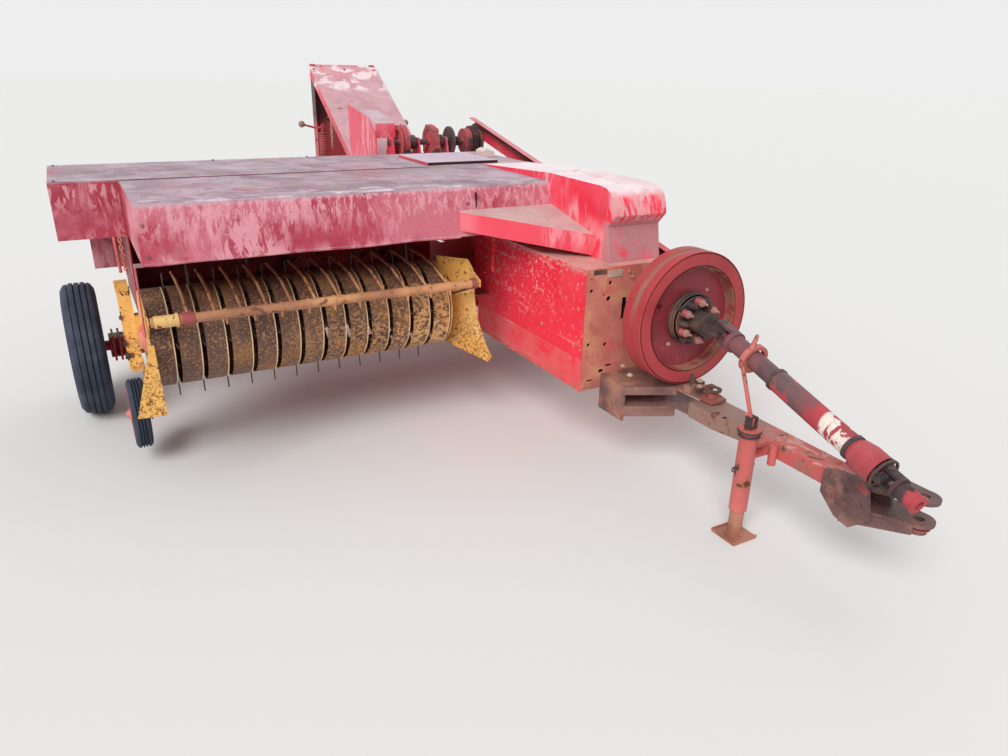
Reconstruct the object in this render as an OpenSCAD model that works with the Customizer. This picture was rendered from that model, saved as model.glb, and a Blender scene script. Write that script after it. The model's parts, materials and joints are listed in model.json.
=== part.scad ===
// Square baler: pickup at the right, bale chamber lengthwise, drawn by a swinging tongue.
// Machine frame: +X to the machine's left, +Y rearward, +Z up, ground at z = 0, flywheel axis at x = 0.

/* [Bale chamber] */
// Inside width of the chamber
chamber_w = 448; // [400:1:480]
// Inside height of the chamber
chamber_h = 368; // [340:1:390]
// Thickness of the chamber walls
wall = 6; // [4:1:8]
// Sideways place of the chamber's middle
chamber_x = -145; // [-160:1:-130]
// Height of the chamber's underside
chamber_z = 560; // [540:1:580]
// Front end of the chamber, behind the front box
chamber_front = -150; // [-180:1:-130]
// Rear end of the chamber
chamber_rear = 2880; // [2850:1:2920]
// Height of one side window between the rear rails
window_h = 110; // [80:1:120]
// Front end of the rear rails' windows
window_front = 1760; // [1720:1:1850]

/* [Front box] */
// Front face of the front box
box_front = -912; // [-930:1:-900]
// Underside of the front box
box_z = 348; // [330:1:360]
// Rear end of the front box's lower part
box_rear = 60; // [40:1:80]
// Top of the front box
box_top = 894; // [880:1:905]
// Thickness of the punched front plate
front_plate_t = 8; // [6:1:10]

/* [Flywheel] */
// Height of the flywheel shaft
drive_z = 706; // [700:1:712]
// Outer radius of the flywheel
flywheel_r = 285; // [270:1:300]
// Inner radius of the flywheel's rim
flywheel_in_r = 222; // [210:1:235]
// Front plane of the rim
flywheel_front = -1176; // [-1190:1:-1165]
// Width of the rim along the shaft
flywheel_w = 116; // [100:1:125]
// Thickness of the flywheel's disc
web_t = 24; // [18:1:30]
// Depth of the groove round the rim
groove_d = 6; // [3:1:8]
// Radius of the flywheel shaft
drive_r = 30; // [26:1:34]
// Radius of the gearbox nose round the shaft
nose_r = 80; // [70:1:90]
// Radius of the slip clutch discs
clutch_r = 105; // [95:1:115]
// Number of clutch springs
spring_n = 6; // [6:1:8]

/* [Gearbox] */
// Width of the gearbox block
gearbox_w = 199; // [180:1:220]
// Length of the gearbox block
gearbox_l = 384; // [340:1:400]
// Height of the gearbox block
gearbox_h = 270; // [240:1:280]
// Underside of the gearbox block
gearbox_z = 590; // [575:1:600]
// Height of the sprocket shaft
output_z = 780; // [760:1:790]
// Lengthwise place of the sprocket shaft
output_y = -600; // [-640:1:-580]
// Radius of the sprocket shaft
output_r = 20; // [16:1:24]
// Radius of the front sprocket
front_sprocket_r = 60; // [50:1:70]

/* [Drive shield and hood] */
// Top of the drive shield
shield_top = 1213; // [1205:1:1225]
// Right side of the drive shield
shield_right = -215; // [-225:1:-205]
// Left side of the drive shield
shield_left = 62; // [52:1:72]
// Front of the shield's lower plate
shield_front = -849; // [-860:1:-840]
// Sheet thickness of the covers
sheet = 4; // [3:1:5]
// Top of the feeder hood
hood_top = 1175; // [1165:1:1185]
// Front fold of the hood's top
hood_fold = -350; // [-365:1:-340]
// How far the hood's front lip leans out
lip_lean = 50; // [40:1:60]
// Height of the hood's front lip
lip_z = 962; // [950:1:975]
// Right end of the hood's front part
hood_right = -1996; // [-1998:1:-1992]
// Right end of the hood's rear part
hood_far_right = -2266; // [-2280:1:-2250]
// Top of the step shelf at the hood
shelf_top = 1074; // [1066:1:1080]
// Height of the step shelf's faces
shelf_h = 88; // [80:1:92]
// Slope of the step shelf's top
shelf_slope = 12.5; // [11:0.5:14]
// Underside of the hood's rear wall
rear_wall_z = 655; // [650:1:670]
// Seam between the hood's front and rear parts
hood_seam = 315; // [300:1:330]
// Rear edge of the hood
hood_rear = 969; // [950:1:985]
// Height of the drop face at the seam
drop_h = 240; // [220:1:255]

/* [Feeder] */
// Front edge of the feeder floor
floor_front = 240; // [235:1:250]
// Rear edge of the feeder floor
floor_rear = 900; // [880:1:910]
// Right end of the feeder floor
floor_right = -2002; // [-2004:1:-2000]
// Thickness of the feeder floor
floor_t = 6; // [4:1:8]
// Height of the feeder floor's top
floor_z = 575; // [572:1:580]
// Radius of the feeder bar
feeder_bar_r = 22; // [18:1:26]
// Front end of the feed mouth in the chamber wall
mouth_front = 110; // [100:1:130]
// Length of the feed mouth
mouth_l = 590; // [560:1:620]

/* [Pickup] */
// Lengthwise place of the reel shaft
reel_y = -130; // [-134:1:-126]
// Height of the reel shaft, raised
reel_z = 597; // [592:1:602]
// Outer radius of the stripper bands
band_r = 204; // [200:1:207]
// Width of one band
band_w = 82; // [78:1:86]
// Distance from band to band
band_pitch = 100; // [98:1:101]
// Number of bands
band_n = 13; // [11:1:13]
// Thickness of a band
band_t = 4; // [3:1:5]
// Right edge of the outermost band
band_right = -2007; // [-2008:1:-2006]
// Radius at the tines' tips
tine_tip_r = 262; // [240:1:266]
// Radius of a tine
tine_r = 3; // [2.5:0.5:4]
// Number of tine bars on the reel
tine_bars = 4; // [3:1:5]
// Radius from the reel shaft to a tine bar
tine_bar_ring = 130; // [110:1:140]
// Radius of the reel shaft
reel_shaft_r = 20; // [16:1:24]
// Thickness of the pickup's end plates
end_t = 6; // [5:1:8]
// Lengthwise place of the pickup's hinge
lift_y = 260; // [255:1:270]
// Height of the pickup's hinge
lift_z = 520; // [515:1:525]
// Radius of the pickup's hinge pins
lift_pin_r = 12; // [10:1:14]
// Lengthwise place of the wind guard's pipe
guard_y = -400; // [-410:1:-396]
// Height of the wind guard's pipe
guard_z = 742; // [738:1:748]
// Radius of the wind guard's pipe
guard_r = 20; // [16:1:21]
// Radius of the wind guard's pivot pins
guard_pin_r = 8; // [6:1:10]
// Left end of the wind guard's pipe
guard_left = -615; // [-625:1:-605]
// Number of wind guard rods
guard_rods = 12; // [10:1:12]

/* [Wheels] */
// Radius of the right tyre
tyre_r = 326; // [318:1:335]
// Width of the right tyre
tyre_w = 155; // [148:1:162]
// Radius of the left tyre
left_tyre_r = 365; // [355:1:370]
// Width of the left tyre
left_tyre_w = 205; // [195:1:210]
// Radius of the rims
rim_r = 195; // [185:1:205]
// Place of the axle along the machine
axle_y = 683; // [670:1:700]
// Sideways place of the right wheel
right_wheel_x = -2239; // [-2244:1:-2232]
// Sideways place of the left wheel
left_wheel_x = 480; // [476:1:500]
// Height and depth of the axle beam
axle_h = 100; // [85:1:110]
// Radius of the wheel spindles
spindle_r = 25; // [22:1:30]
// Radius of the gauge wheel
gauge_r = 156; // [148:1:160]
// Width of the gauge wheel's tyre
gauge_w = 70; // [64:1:74]
// Sideways place of the gauge wheel
gauge_x = -2080; // [-2084:1:-2078]
// Height of the gauge wheel's axle, raised
gauge_z = 222; // [218:1:228]
// Lengthwise place of the gauge wheel's axle
gauge_y = 0; // [-8:1:4]

/* [Tongue and hitch] */
// Lengthwise place of the tongue's pivot and the shaft joint
pivot_y = -1335; // [-1345:1:-1325]
// Radius of the tongue's pivot pin
pivot_r = 20; // [16:1:24]
// Width of the tongue tube
tongue_w = 100; // [90:1:110]
// Underside of the tongue tube
tongue_z = 333; // [331:1:336]
// Height of the tongue tube
tongue_h = 64; // [60:1:64]
// Wall of the tongue tube
tongue_wall = 8; // [6:1:10]
// Front end of the tongue tube
tongue_front = -2040; // [-2060:1:-2020]
// Thickness of the hitch plates
hitch_t = 12; // [10:1:14]
// Radius of the hitch pin's hole
hitch_pin_r = 17; // [13:1:18]
// Lengthwise place of the hitch pin
hitch_y = -2240; // [-2255:1:-2225]
// Sideways place of the hitch pin
hitch_x = 60; // [50:1:66]
// Top of the lower hitch plate
clevis_z = 328; // [322:1:334]
// Height of the boss under the lower hitch plate
boss_h = 34; // [24:1:40]
// Gap between the two hitch plates
clevis_gap = 72; // [60:1:74]
// Sideways place of the jack
jack_x = -152; // [-158:1:-146]
// Lengthwise place of the jack
jack_y = -1684; // [-1700:1:-1670]
// Outer radius of the jack tube
jack_r = 34; // [30:1:38]
// Top of the jack tube
jack_top = 459; // [450:1:470]
// Bottom of the jack tube
jack_low = 118; // [114:1:126]
// Radius of the jack leg
jack_leg_r = 27; // [22:1:28]

/* [Drive shaft] */
// Downward angle of the drive shaft
shaft_drop = 15.1; // [14:0.1:16]
// Angle of the drive shaft to the right
shaft_yaw = 4.2; // [3:0.1:5]
// Radius of the guard tube
shaft_r = 42; // [38:1:45]
// Length from the joint to the guard tube's front end
shaft_tube_l = 785; // [775:1:790]
// Radius of the bell's mouth
bell_r = 56; // [54:1:60]
// Length of the bell
bell_l = 100; // [80:1:105]
// Distance from the rear joint to the front joint
front_joint = 868; // [860:1:880]
// Length of the front yoke ahead of its joint
front_yoke_l = 135; // [120:1:145]
// Radius of the splined hole in the front yoke
spline_r = 17.5; // [17:0.5:20]
// Length of the splined hole
spline_l = 76; // [60:1:80]
// Radius from the shaft's axis to a yoke ear's middle
ear_ring = 36; // [34:1:38]

/* [Knotter and chain] */
// Lengthwise place of the knotter shaft
knotter_y = 1400; // [1380:1:1420]
// Height of the knotter shaft
knotter_z = 1200; // [1190:1:1210]
// Radius of the knotter shaft
knotter_r = 19; // [16:1:22]
// Left end of the knotter shaft
knotter_left = 318; // [312:1:322]
// Sideways place of the drive chain
chain_x = 292; // [288:1:296]
// Radius of the rear sprocket
rear_sprocket_r = 105; // [95:1:115]
// Thickness of the chain
chain_t = 12; // [10:1:14]

/* [Twine box] */
// Inner side of the twine box
twine_x = 334; // [332:1:340]
// Width of the twine box
twine_w = 306; // [290:1:320]
// Front of the twine box
twine_y = 0; // [-20:1:20]
// Length of the twine box
twine_l = 900; // [860:1:920]
// Underside of the twine box
twine_z = 760; // [755:1:770]
// Height of the twine box
twine_h = 290; // [270:1:300]
// Wall of the twine box
twine_wall = 4; // [3:1:5]

/* [Bale chute] */
// Width of the chute outside its flanges
chute_w = 520; // [512:1:530]
// Length of the folded-up base
chute_base_l = 1107; // [1090:1:1120]
// Length of the extension
chute_ext_l = 1131; // [1100:1:1160]
// Depth of the base's side flanges
chute_flange = 90; // [80:1:95]
// Depth of the extension's side flanges
ext_flange = 60; // [50:1:70]
// Downward angle of the folded extension
ext_angle = 32; // [30:0.5:34]
// Radius of the chute's hinge pins
chute_pin_r = 10; // [8:1:12]

/* [Bale tension] */
// Lengthwise place of the tension screws
tension_y = 2640; // [2600:1:2680]
// Radius of the tension screws
screw_r = 10; // [8:1:12]
// Radius of the tension springs
tension_spring_r = 26; // [22:1:30]
// Top of the tension screws
screw_top = 1216; // [1200:1:1230]

/* [Fits] */
// Clearance of a turning pin in its hole
pin_gap = 0.3; // [0.2:0.05:0.5]
// Clearance between pieces that pass each other
pass_gap = 6; // [5:0.5:7]
// Clearance of a piece that rests on its seat
seat_gap = 0.3; // [0.2:0.1:0.5]

/* [Hidden] */
$fn = 48;

// The chamber's outer faces
chamber_right = chamber_x - chamber_w / 2 - wall;
chamber_left = chamber_x + chamber_w / 2 + wall;
chamber_out_w = chamber_w + 2 * wall;
chamber_top = chamber_z + chamber_h + 2 * wall;

// The pickup's ends
bands_left = band_right + (band_n - 1) * band_pitch + band_w;
band_gap = band_pitch - band_w;
pickup_right = band_right - 1 - end_t;
pickup_left = bands_left + 9;

// The drive shaft's direction to the front, and the directions up and to the left across it
shaft_dir = [-sin(shaft_yaw) * cos(shaft_drop), -cos(shaft_yaw) * cos(shaft_drop), -sin(shaft_drop)];
shaft_up = [-sin(shaft_yaw) * sin(shaft_drop), -cos(shaft_yaw) * sin(shaft_drop), cos(shaft_drop)];
shaft_side = [cos(shaft_yaw), -sin(shaft_yaw), 0];
yoke_r = 30;
inner_tube_r = shaft_r - 6;

// The twine lid's overhang and hinge
lid_lip = 2;
lid_hinge_x = twine_x - 10;
lid_hinge_z = twine_z + twine_h + 4;

// The chute's hinges
chute_y = chamber_rear + 5;
chute_z = chamber_z - 15;
chute_plate_y = chute_y + 5;
ext_z = chute_z + chute_base_l;
ext_pin_r = 6;
chute_ear_r = 20;

// The model's origin: middle of its box, on the ground
far_left = twine_x + twine_w + lid_lip;
far_front = pivot_y + (front_joint + front_yoke_l) * shaft_dir[1] - yoke_r * sqrt(1 - pow(shaft_dir[1], 2));
far_rear = chute_y + chute_ear_r;
origin_x = (hood_edge() + far_left) / 2;
origin_y = (far_front + far_rear) / 2;
function hood_edge() = min(hood_far_right, right_wheel_x - tyre_w / 2);

module placed() {
    translate([-origin_x, -origin_y, 0]) children();
}

// A block given by its lowest and highest corners
module block(low, high) {
    translate(low) cube(high - low);
}

// Turns an XY outline into a plate across X, whose outline lies in Y and Z
module plate_x(x, t) {
    translate([x, 0, 0]) rotate([90, 0, 90]) linear_extrude(t) children();
}

// Turns an XY outline into a plate across Y, whose outline lies in X and Z
module plate_y(y, t) {
    translate([0, y + t, 0]) rotate([90, 0, 0]) linear_extrude(t) children();
}

// A round bar along X, from x to x + l
module bar_x(x, y, z, l, r) {
    translate([x, y, z]) rotate([0, 90, 0]) cylinder(h = l, r = r);
}

// A round bar along Y, from y to y + l
module bar_y(x, y, z, l, r) {
    translate([x, y + l, z]) rotate([90, 0, 0]) cylinder(h = l, r = r);
}

// A round bar from one point to another
module rod(from, to, r) {
    d = to - from;
    l = norm(d);
    translate(from) rotate([0, acos(d[2] / l), atan2(d[1], d[0])]) cylinder(h = l, r = r);
}

// Outline of a belt round two circles, the second at distance d along X
module belt(r1, r2, d) {
    s = (r1 - r2) / d;
    c = sqrt(1 - s * s);
    k = c * 0.997;
    circle(r1);
    translate([d, 0]) circle(r2);
    polygon([[r1 * s, r1 * k], [d + r2 * s, r2 * k], [d + r2 * s, -r2 * k], [r1 * s, -r1 * k]]);
}

// Frame of the drive shaft: its origin at the rear joint, local Z along the shaft to the front
module along_shaft() {
    translate([0, pivot_y, drive_z]) rotate([0, 0, -shaft_yaw]) rotate([90 + shaft_drop, 0, 0]) children();
}

// Front box

// Round holes of the front plate: [x, z, radius]
plate_holes = [[-245, 826, 9], [-249, 757, 11], [-275, 775, 5], [-142, 862, 5], [-251, 551, 9],
    [-340, 800, 8], [-340, 560, 8], [40, 820, 12], [50, 600, 12]];
// Long openings of the front plate: [x, z, width, height]
plate_slots = [[-176, 655, 26, 98], [-241, 444, 34, 10], [-276, 420, 26, 16], [-338, 388, 30, 8]];

module front_plate() {
    color("sienna") placed() difference() {
        block([chamber_right, box_front, box_z], [chamber_left, box_front + front_plate_t, box_top]);
        bar_y(0, box_front - 1, drive_z, front_plate_t + 2, nose_r + pin_gap);
        for (h = plate_holes)
            bar_y(h[0], box_front - 1, h[1], front_plate_t + 2, h[2]);
        for (o = plate_slots)
            block([o[0], box_front - 1, o[1]], [o[0] + o[2], box_front + front_plate_t + 1, o[1] + o[3]]);
    }
}

module front_box() {
    back = chamber_front;
    front = box_front + front_plate_t;
    right = chamber_right + wall;
    left = chamber_left - wall;
    color("firebrick") placed() difference() {
        union() {
            block([chamber_right, front, box_z], [chamber_left, back, box_top]);
            block([chamber_right, back - 1, box_z], [chamber_left, box_rear, chamber_z]);
        }
        block([right, front - 1, box_z + wall], [left, back - wall, box_top - wall]);
        block([right, back - wall - 1, chamber_z], [left, back + 1, box_top - wall]);
        block([right, back - wall - 1, box_z + wall], [left, box_rear - wall, chamber_z + 1]);
        bar_x(left - 1, output_y, output_z, wall + 2, output_r + 4);
    }
}

module gearbox() {
    back = box_front + front_plate_t + gearbox_l;
    left = chamber_left - wall;
    color("dimgray") placed() difference() {
        union() {
            block([left - gearbox_w, box_front + front_plate_t, gearbox_z], [left, back, gearbox_z + gearbox_h]);
            bar_y(0, box_front - 112, drive_z, 112 + front_plate_t + 1, nose_r - 1);
            bar_x(left - 1, output_y, output_z, chain_x + 11 - left, output_r);
            bar_x(chain_x - 8, output_y, output_z, 16, front_sprocket_r - chain_t / 2 - seat_gap);
        }
        bar_y(0, box_front - 113, drive_z, 160, drive_r + pin_gap);
    }
}

// Bale chamber

module chamber_window(front, back, low, high) {
    block([chamber_right - 1, front, low], [chamber_left + 1, back, high]);
}

module bale_chamber() {
    mid = chamber_z + wall + chamber_h / 2;
    color("brown") placed() {
        difference() {
            union() {
                block([chamber_right, chamber_front, chamber_z], [chamber_left, chamber_rear, chamber_top]);
                plate_x(chamber_right - 5, 6) polygon([[-95, 905], [-50, 905], [-58, 715], [-72, 715]]);
                for (y = [900, 1640, chamber_rear - 180])
                    block([chamber_right - 25, y, chamber_z - 25], [chamber_left + 25, y + 50, chamber_top + 8]);
                for (x = [chamber_right, chamber_left - 12])
                    block([x, chute_y - 25, chute_z - 18], [x + 12, chute_y + 14, chamber_z + 1]);
                bar_x(chamber_right - 35, chute_y, chute_z, 40, chute_pin_r);
                bar_x(chamber_left - 5, chute_y, chute_z, 40, chute_pin_r);
            }
            block([chamber_right + wall, chamber_front - 1, chamber_z + wall],
                [chamber_left - wall, chamber_rear + 1, chamber_top - wall]);
            block([chamber_right - 1, mouth_front, chamber_z + wall],
                [chamber_right + wall + 1, mouth_front + mouth_l, chamber_top - wall]);
            chamber_window(window_front, chamber_rear - 180, mid + 22, mid + 22 + window_h);
            chamber_window(window_front, chamber_rear - 180, mid - 22 - window_h, mid - 22);
            for (x = [chamber_x - 100, chamber_x + 100])
                block([x - 20, 1220, chamber_z - 30], [x + 20, 1480, chamber_top + 10]);
        }
    }
}

module bale_tension() {
    color("indianred") placed() union() {
        for (z = [chamber_z - 50, chamber_top])
            block([chamber_right - 65, tension_y - 30, z], [chamber_left + 65, tension_y + 30, z + 50]);
        for (side = [-1, 1]) {
            x = chamber_x + side * (chamber_out_w / 2 + 35);
            rod([x, tension_y, chamber_z - 60], [x, tension_y, screw_top], screw_r);
            translate([x, tension_y, chamber_top + 49]) cylinder(h = 170, r = tension_spring_r);
            rod([x, tension_y, screw_top - 10], [x + side * 60, tension_y, screw_top - 6], 8);
            rod([x + side * 58, tension_y, screw_top - 8], [x + side * 158, tension_y, screw_top + 19], 8);
            translate([x + side * 158, tension_y, screw_top + 19]) sphere(24);
        }
    }
}

module plunger() {
    front = chamber_front + 10;
    color("gray") placed() difference() {
        block([chamber_right + wall + pass_gap, front, chamber_z + wall],
            [chamber_left - wall - pass_gap, front + 200, chamber_top - wall - pass_gap]);
        block([chamber_right + wall + pass_gap + 16, front - 1, chamber_z + wall + 16],
            [chamber_left - wall - pass_gap - 16, front + 180, chamber_top - wall - pass_gap - 16]);
    }
}

// Covers

// Side outline of the drive shield at depth d inside it, its foot lowered by e
function shield_outline(d, e) = [
    [shield_front + d, box_top - e], [shield_front + 27 + d, 1042], [shield_front - 19 + 1.5 * d, 1093],
    [shield_front - 12 + d, 1122], [shield_front + 1 + d, shield_top - 52 - d / 2],
    [shield_front + 21 + d, shield_top - 27 - d], [shield_front + 56, shield_top - 10 - d],
    [shield_front + 106, shield_top - 5 - d], [hood_fold, shield_top - d],
    [hood_seam - d, hood_top + 6 - d], [hood_seam - d, chamber_top - e],
    [chamber_front, chamber_top - e], [chamber_front, box_top - e]];

module drive_shield() {
    color("crimson") placed() difference() {
        plate_x(shield_right, shield_left - shield_right) polygon(shield_outline(0, 0));
        plate_x(shield_right + sheet, shield_left - shield_right - 2 * sheet)
            polygon(shield_outline(sheet, 1));
    }
}

// Where the hood's leaning face stands at height z
function face_y(z) = hood_fold - lip_lean * (hood_top - z) / (hood_top - lip_z);
shelf_reach = 390;

// Side outline of the step shelf with its top lowered by d and its foot lowered by e
function shelf_outline(d, e) = [
    [face_y(shelf_top - shelf_h), shelf_top - shelf_h - e], [face_y(shelf_top), shelf_top - d],
    [face_y(shelf_top) - shelf_reach, shelf_top - d - shelf_reach * tan(shelf_slope)],
    [face_y(shelf_top) - shelf_reach, shelf_top - shelf_h - 6 - e - shelf_reach * tan(shelf_slope)]];

module step_shelf() {
    color("indianred") placed() difference() {
        intersection() {
            plate_x(-700, shield_right + 700) polygon(shelf_outline(0, 0));
            translate([0, 0, 800]) linear_extrude(400)
                polygon([[shield_right, -732], [shield_right, 0], [-700, 0], [-700, -392]]);
        }
        intersection() {
            plate_x(-690, shield_right + 691) polygon(shelf_outline(sheet, 40));
            translate([0, 0, 700]) linear_extrude(500)
                polygon([[shield_right + 1, -725], [shield_right + 1, 0], [-690, 0], [-690, -389]]);
        }
    }
}

// Side outlines of the hood's sheets
function hood_front_outline() = [
    [hood_fold - lip_lean, lip_z], [hood_fold - 5, hood_top - 22], [hood_fold + 3, hood_top - 7],
    [hood_fold + 20, hood_top], [hood_seam, hood_top], [hood_seam, hood_top - sheet],
    [hood_fold + 22, hood_top - sheet], [hood_fold + 6, hood_top - 10], [hood_fold, hood_top - 24],
    [hood_fold - lip_lean + sheet, lip_z]];
end_wall_outline = [[hood_fold - lip_lean, lip_z - 7], [hood_fold - 5, hood_top - 22],
    [hood_fold + 3, hood_top - 7], [hood_fold + 20, hood_top], [hood_seam, hood_top],
    [hood_seam, lip_z - 7]];
// The strut below the hood's right front corner stands outside the pickup
strut_x = pickup_right - pass_gap - 5;
strut_outline = [[hood_fold - lip_lean, lip_z - 3], [hood_fold - lip_lean + 56, lip_z - 3],
    [-352, 800], [-342, 712], [-352, 672], [-372, 688]];

// Right end of the hood's low rear wall, beside the road wheel
rear_wall_x = right_wheel_x + tyre_w / 2 + 20;

module feeder_hood() {
    color("firebrick") placed() union() {
        plate_x(hood_right, shield_right - hood_right) polygon(hood_front_outline());
        plate_x(hood_right, sheet) polygon(end_wall_outline);
        plate_x(strut_x, 5) polygon(strut_outline);
        block([strut_x, hood_fold - lip_lean, lip_z - 7],
            [hood_right + sheet, hood_fold - lip_lean + 56, lip_z - 3]);
        block([rear_wall_x, hood_rear - sheet, rear_wall_z],
            [chamber_right - pass_gap, hood_rear, hood_top - drop_h - 59]);
        block([hood_far_right, hood_seam, hood_top - sheet], [chamber_left, hood_rear, hood_top]);
        block([hood_far_right, hood_seam, hood_top - drop_h],
            [floor_right, hood_seam + sheet, hood_top]);
        plate_x(hood_far_right, sheet) polygon([[hood_seam, hood_top], [hood_rear, hood_top],
            [hood_rear, hood_top - drop_h - 60], [hood_rear - 120, hood_top - drop_h],
            [hood_seam, hood_top - drop_h]]);
        block([hood_far_right, hood_rear - sheet, hood_top - drop_h - 60],
            [chamber_right - pass_gap, hood_rear, hood_top]);
        block([chamber_right - pass_gap, hood_rear - sheet, chamber_top],
            [chamber_left, hood_rear, hood_top]);
        block([shield_right, hood_seam, hood_top - 30], [shield_left, hood_seam + sheet, hood_top]);
    }
}

module feeder_cover() {
    color("silver") placed() difference() {
        block([-510, 390, hood_top], [-90, 810, hood_top + 16]);
        block([-506, 394, hood_top - 1], [-94, 806, hood_top + 12]);
    }
}

// Feeder

module feeder_platform() {
    color("brown") placed() union() {
        block([floor_right, floor_front, floor_z - floor_t], [chamber_right, floor_rear, floor_z]);
        block([floor_right, floor_front, floor_z - floor_t],
            [floor_right + floor_t, floor_rear, hood_top - sheet]);
        block([floor_right, floor_rear - sheet, floor_z - floor_t],
            [chamber_right, floor_rear, hood_top - sheet]);
        block([-695, -60, floor_z - floor_t], [chamber_right, floor_front + 1, floor_z]);
        for (x = [floor_right, pickup_left - pass_gap - floor_t]) {
            block([x, lift_y - 18, lift_z - 30], [x + floor_t, lift_y + 40, floor_z]);
            bar_x(x == floor_right ? pickup_right - 2 : x, lift_y, lift_z,
                pass_gap + floor_t + end_t + 2, lift_pin_r);
        }
    }
}

// Sideways places of the feeder fingers
finger_x = [for (i = [0:4]) -1760 + i * 290];

module feeder_bar() {
    y = floor_rear - 110;
    z = chamber_top - 50;
    color("dimgray") placed() union() {
        bar_x(floor_right + floor_t, y, z, chamber_right - floor_right - floor_t, feeder_bar_r);
        for (x = finger_x)
            plate_x(x, 12) polygon([[y + 15, z + 10], [y - 60, z + 60], [y - 230, z - 10],
                [y - 290, floor_z + 20], [y - 275, floor_z + 18], [y - 200, z - 40], [y - 60, z + 10], [y, z - 20]]);
    }
}

// Running gear

module main_axle() {
    low = tyre_r - axle_h / 2;
    right_end = right_wheel_x + tyre_w / 2 + 20;
    left_end = left_wheel_x - left_tyre_w / 2 - 20;
    // Posts: [x, top]
    posts = [[-1960, floor_z - floor_t], [-1180, floor_z - floor_t], [chamber_right + 10, chamber_z],
        [chamber_left - 70, chamber_z]];
    color("maroon") placed() union() {
        for (z = [low, low + axle_h - 12])
            block([right_end, axle_y - 45, z], [left_end, axle_y + 45, z + 12]);
        block([right_end, axle_y - 8, low], [left_end, axle_y + 8, low + axle_h]);
        for (p = posts)
            block([p[0], axle_y - 30, low + axle_h - 1], [p[0] + 60, axle_y + 30, p[1]]);
        bar_x(right_wheel_x - 45, axle_y, tyre_r, right_end - right_wheel_x + 46, spindle_r);
        bar_x(left_end - 1, axle_y, left_tyre_r, left_wheel_x - left_end + 46, spindle_r);
        block([right_end, axle_y - 45, low], [right_end + 12, axle_y + 45, low + axle_h]);
        block([left_end - 12, axle_y - 45, low], [left_end, axle_y + 45, left_tyre_r + 40]);
    }
}

// A rim round the X axis: barrel, dished disc and hub with a running bore
module rim(r, w, bore) {
    rotate([0, 90, 0]) difference() {
        union() {
            rotate_extrude() polygon([[r - 12, -w / 2], [r, -w / 2], [r, w / 2], [r - 12, w / 2]]);
            translate([0, 0, -6]) cylinder(h = 12, r = r - 6);
            translate([0, 0, -44]) cylinder(h = 80, r = bore * 2.1);
        }
        translate([0, 0, -60]) cylinder(h = 120, r = bore + pin_gap);
        for (a = [0:60:300])
            rotate(a) translate([r * 0.68, 0, -20]) cylinder(h = 40, r = r * 0.1);
    }
}

// A tyre round the X axis with round grooves between its ribs
module tyre(r, inner, w, grooves) {
    shoulder = w * 0.22;
    rotate([0, 90, 0]) difference() {
        rotate_extrude($fn = 64) polygon([[inner, -w * 0.36], [inner + 20, -w * 0.46],
            [(inner + r) / 2, -w / 2], [r - shoulder, -w * 0.48], [r - shoulder * 0.25, -w * 0.38],
            [r, -w * 0.2], [r, w * 0.2], [r - shoulder * 0.25, w * 0.38], [r - shoulder, w * 0.48],
            [(inner + r) / 2, w / 2], [inner + 20, w * 0.46], [inner, w * 0.36]]);
        for (i = [0:grooves - 1])
            translate([0, 0, (i - (grooves - 1) / 2) * w * 0.17 - 3]) rotate_extrude($fn = 64)
                translate([r - 9, 0]) square([20, 6]);
    }
}

module right_rim() {
    color("firebrick") placed() translate([right_wheel_x, axle_y, tyre_r]) rim(rim_r, tyre_w * 0.7, spindle_r);
}

module right_tyre() {
    color("#2b2b2d") placed() translate([right_wheel_x, axle_y, tyre_r]) tyre(tyre_r, rim_r, tyre_w, 4);
}

module left_rim() {
    color("firebrick") placed() translate([left_wheel_x, axle_y, left_tyre_r])
        rim(rim_r, left_tyre_w * 0.7, spindle_r);
}

module left_tyre() {
    color("#2b2b2d") placed() translate([left_wheel_x, axle_y, left_tyre_r])
        tyre(left_tyre_r, rim_r, left_tyre_w, 4);
}

// Needles, parked below the chamber

module needle_yoke() {
    pin_y = 1150;
    cross = [900, 340];
    color("brown") placed() union() {
        for (x = [chamber_right - 42, chamber_left + 30]) {
            plate_x(x, 12) polygon([[pin_y - 25, 640], [pin_y + 25, 640], [pin_y + 20, 600],
                [cross[0] + 25, cross[1] - 10], [cross[0] - 25, cross[1] + 10]]);
            bar_x(x == chamber_right - 42 ? x : chamber_left, pin_y, 615, 42, 14);
        }
        bar_x(chamber_right - 42, cross[0], cross[1], chamber_out_w + 84, 24);
        for (x = [chamber_x - 100, chamber_x + 100])
            translate([x - 7, 0, 0]) rotate([90, 0, 90]) linear_extrude(14)
                polygon([[cross[0] - 10, cross[1]], [cross[0] + 30, cross[1] - 20], [1100, 352],
                    [1220, 420], [1285, 525], [1275, 545], [1200, 450], [1090, 385], [cross[0] + 10, cross[1] + 20]]);
    }
}

// Knotter

// The knotter guard: its side plate and its cover, bent down at the front
guard_fin = [[1398, chamber_top], [1398, 1114], [1410, 1278], [1521, 1345], [1940, 1412],
    [1915, chamber_top]];
guard_cover = [[1408, 1228], [1408, 1285], [1424, 1318], [1521, 1349], [1730, 1382], [1730, 1378],
    [1522, 1345], [1428, 1314], [1412, 1283], [1412, 1228]];

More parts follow.
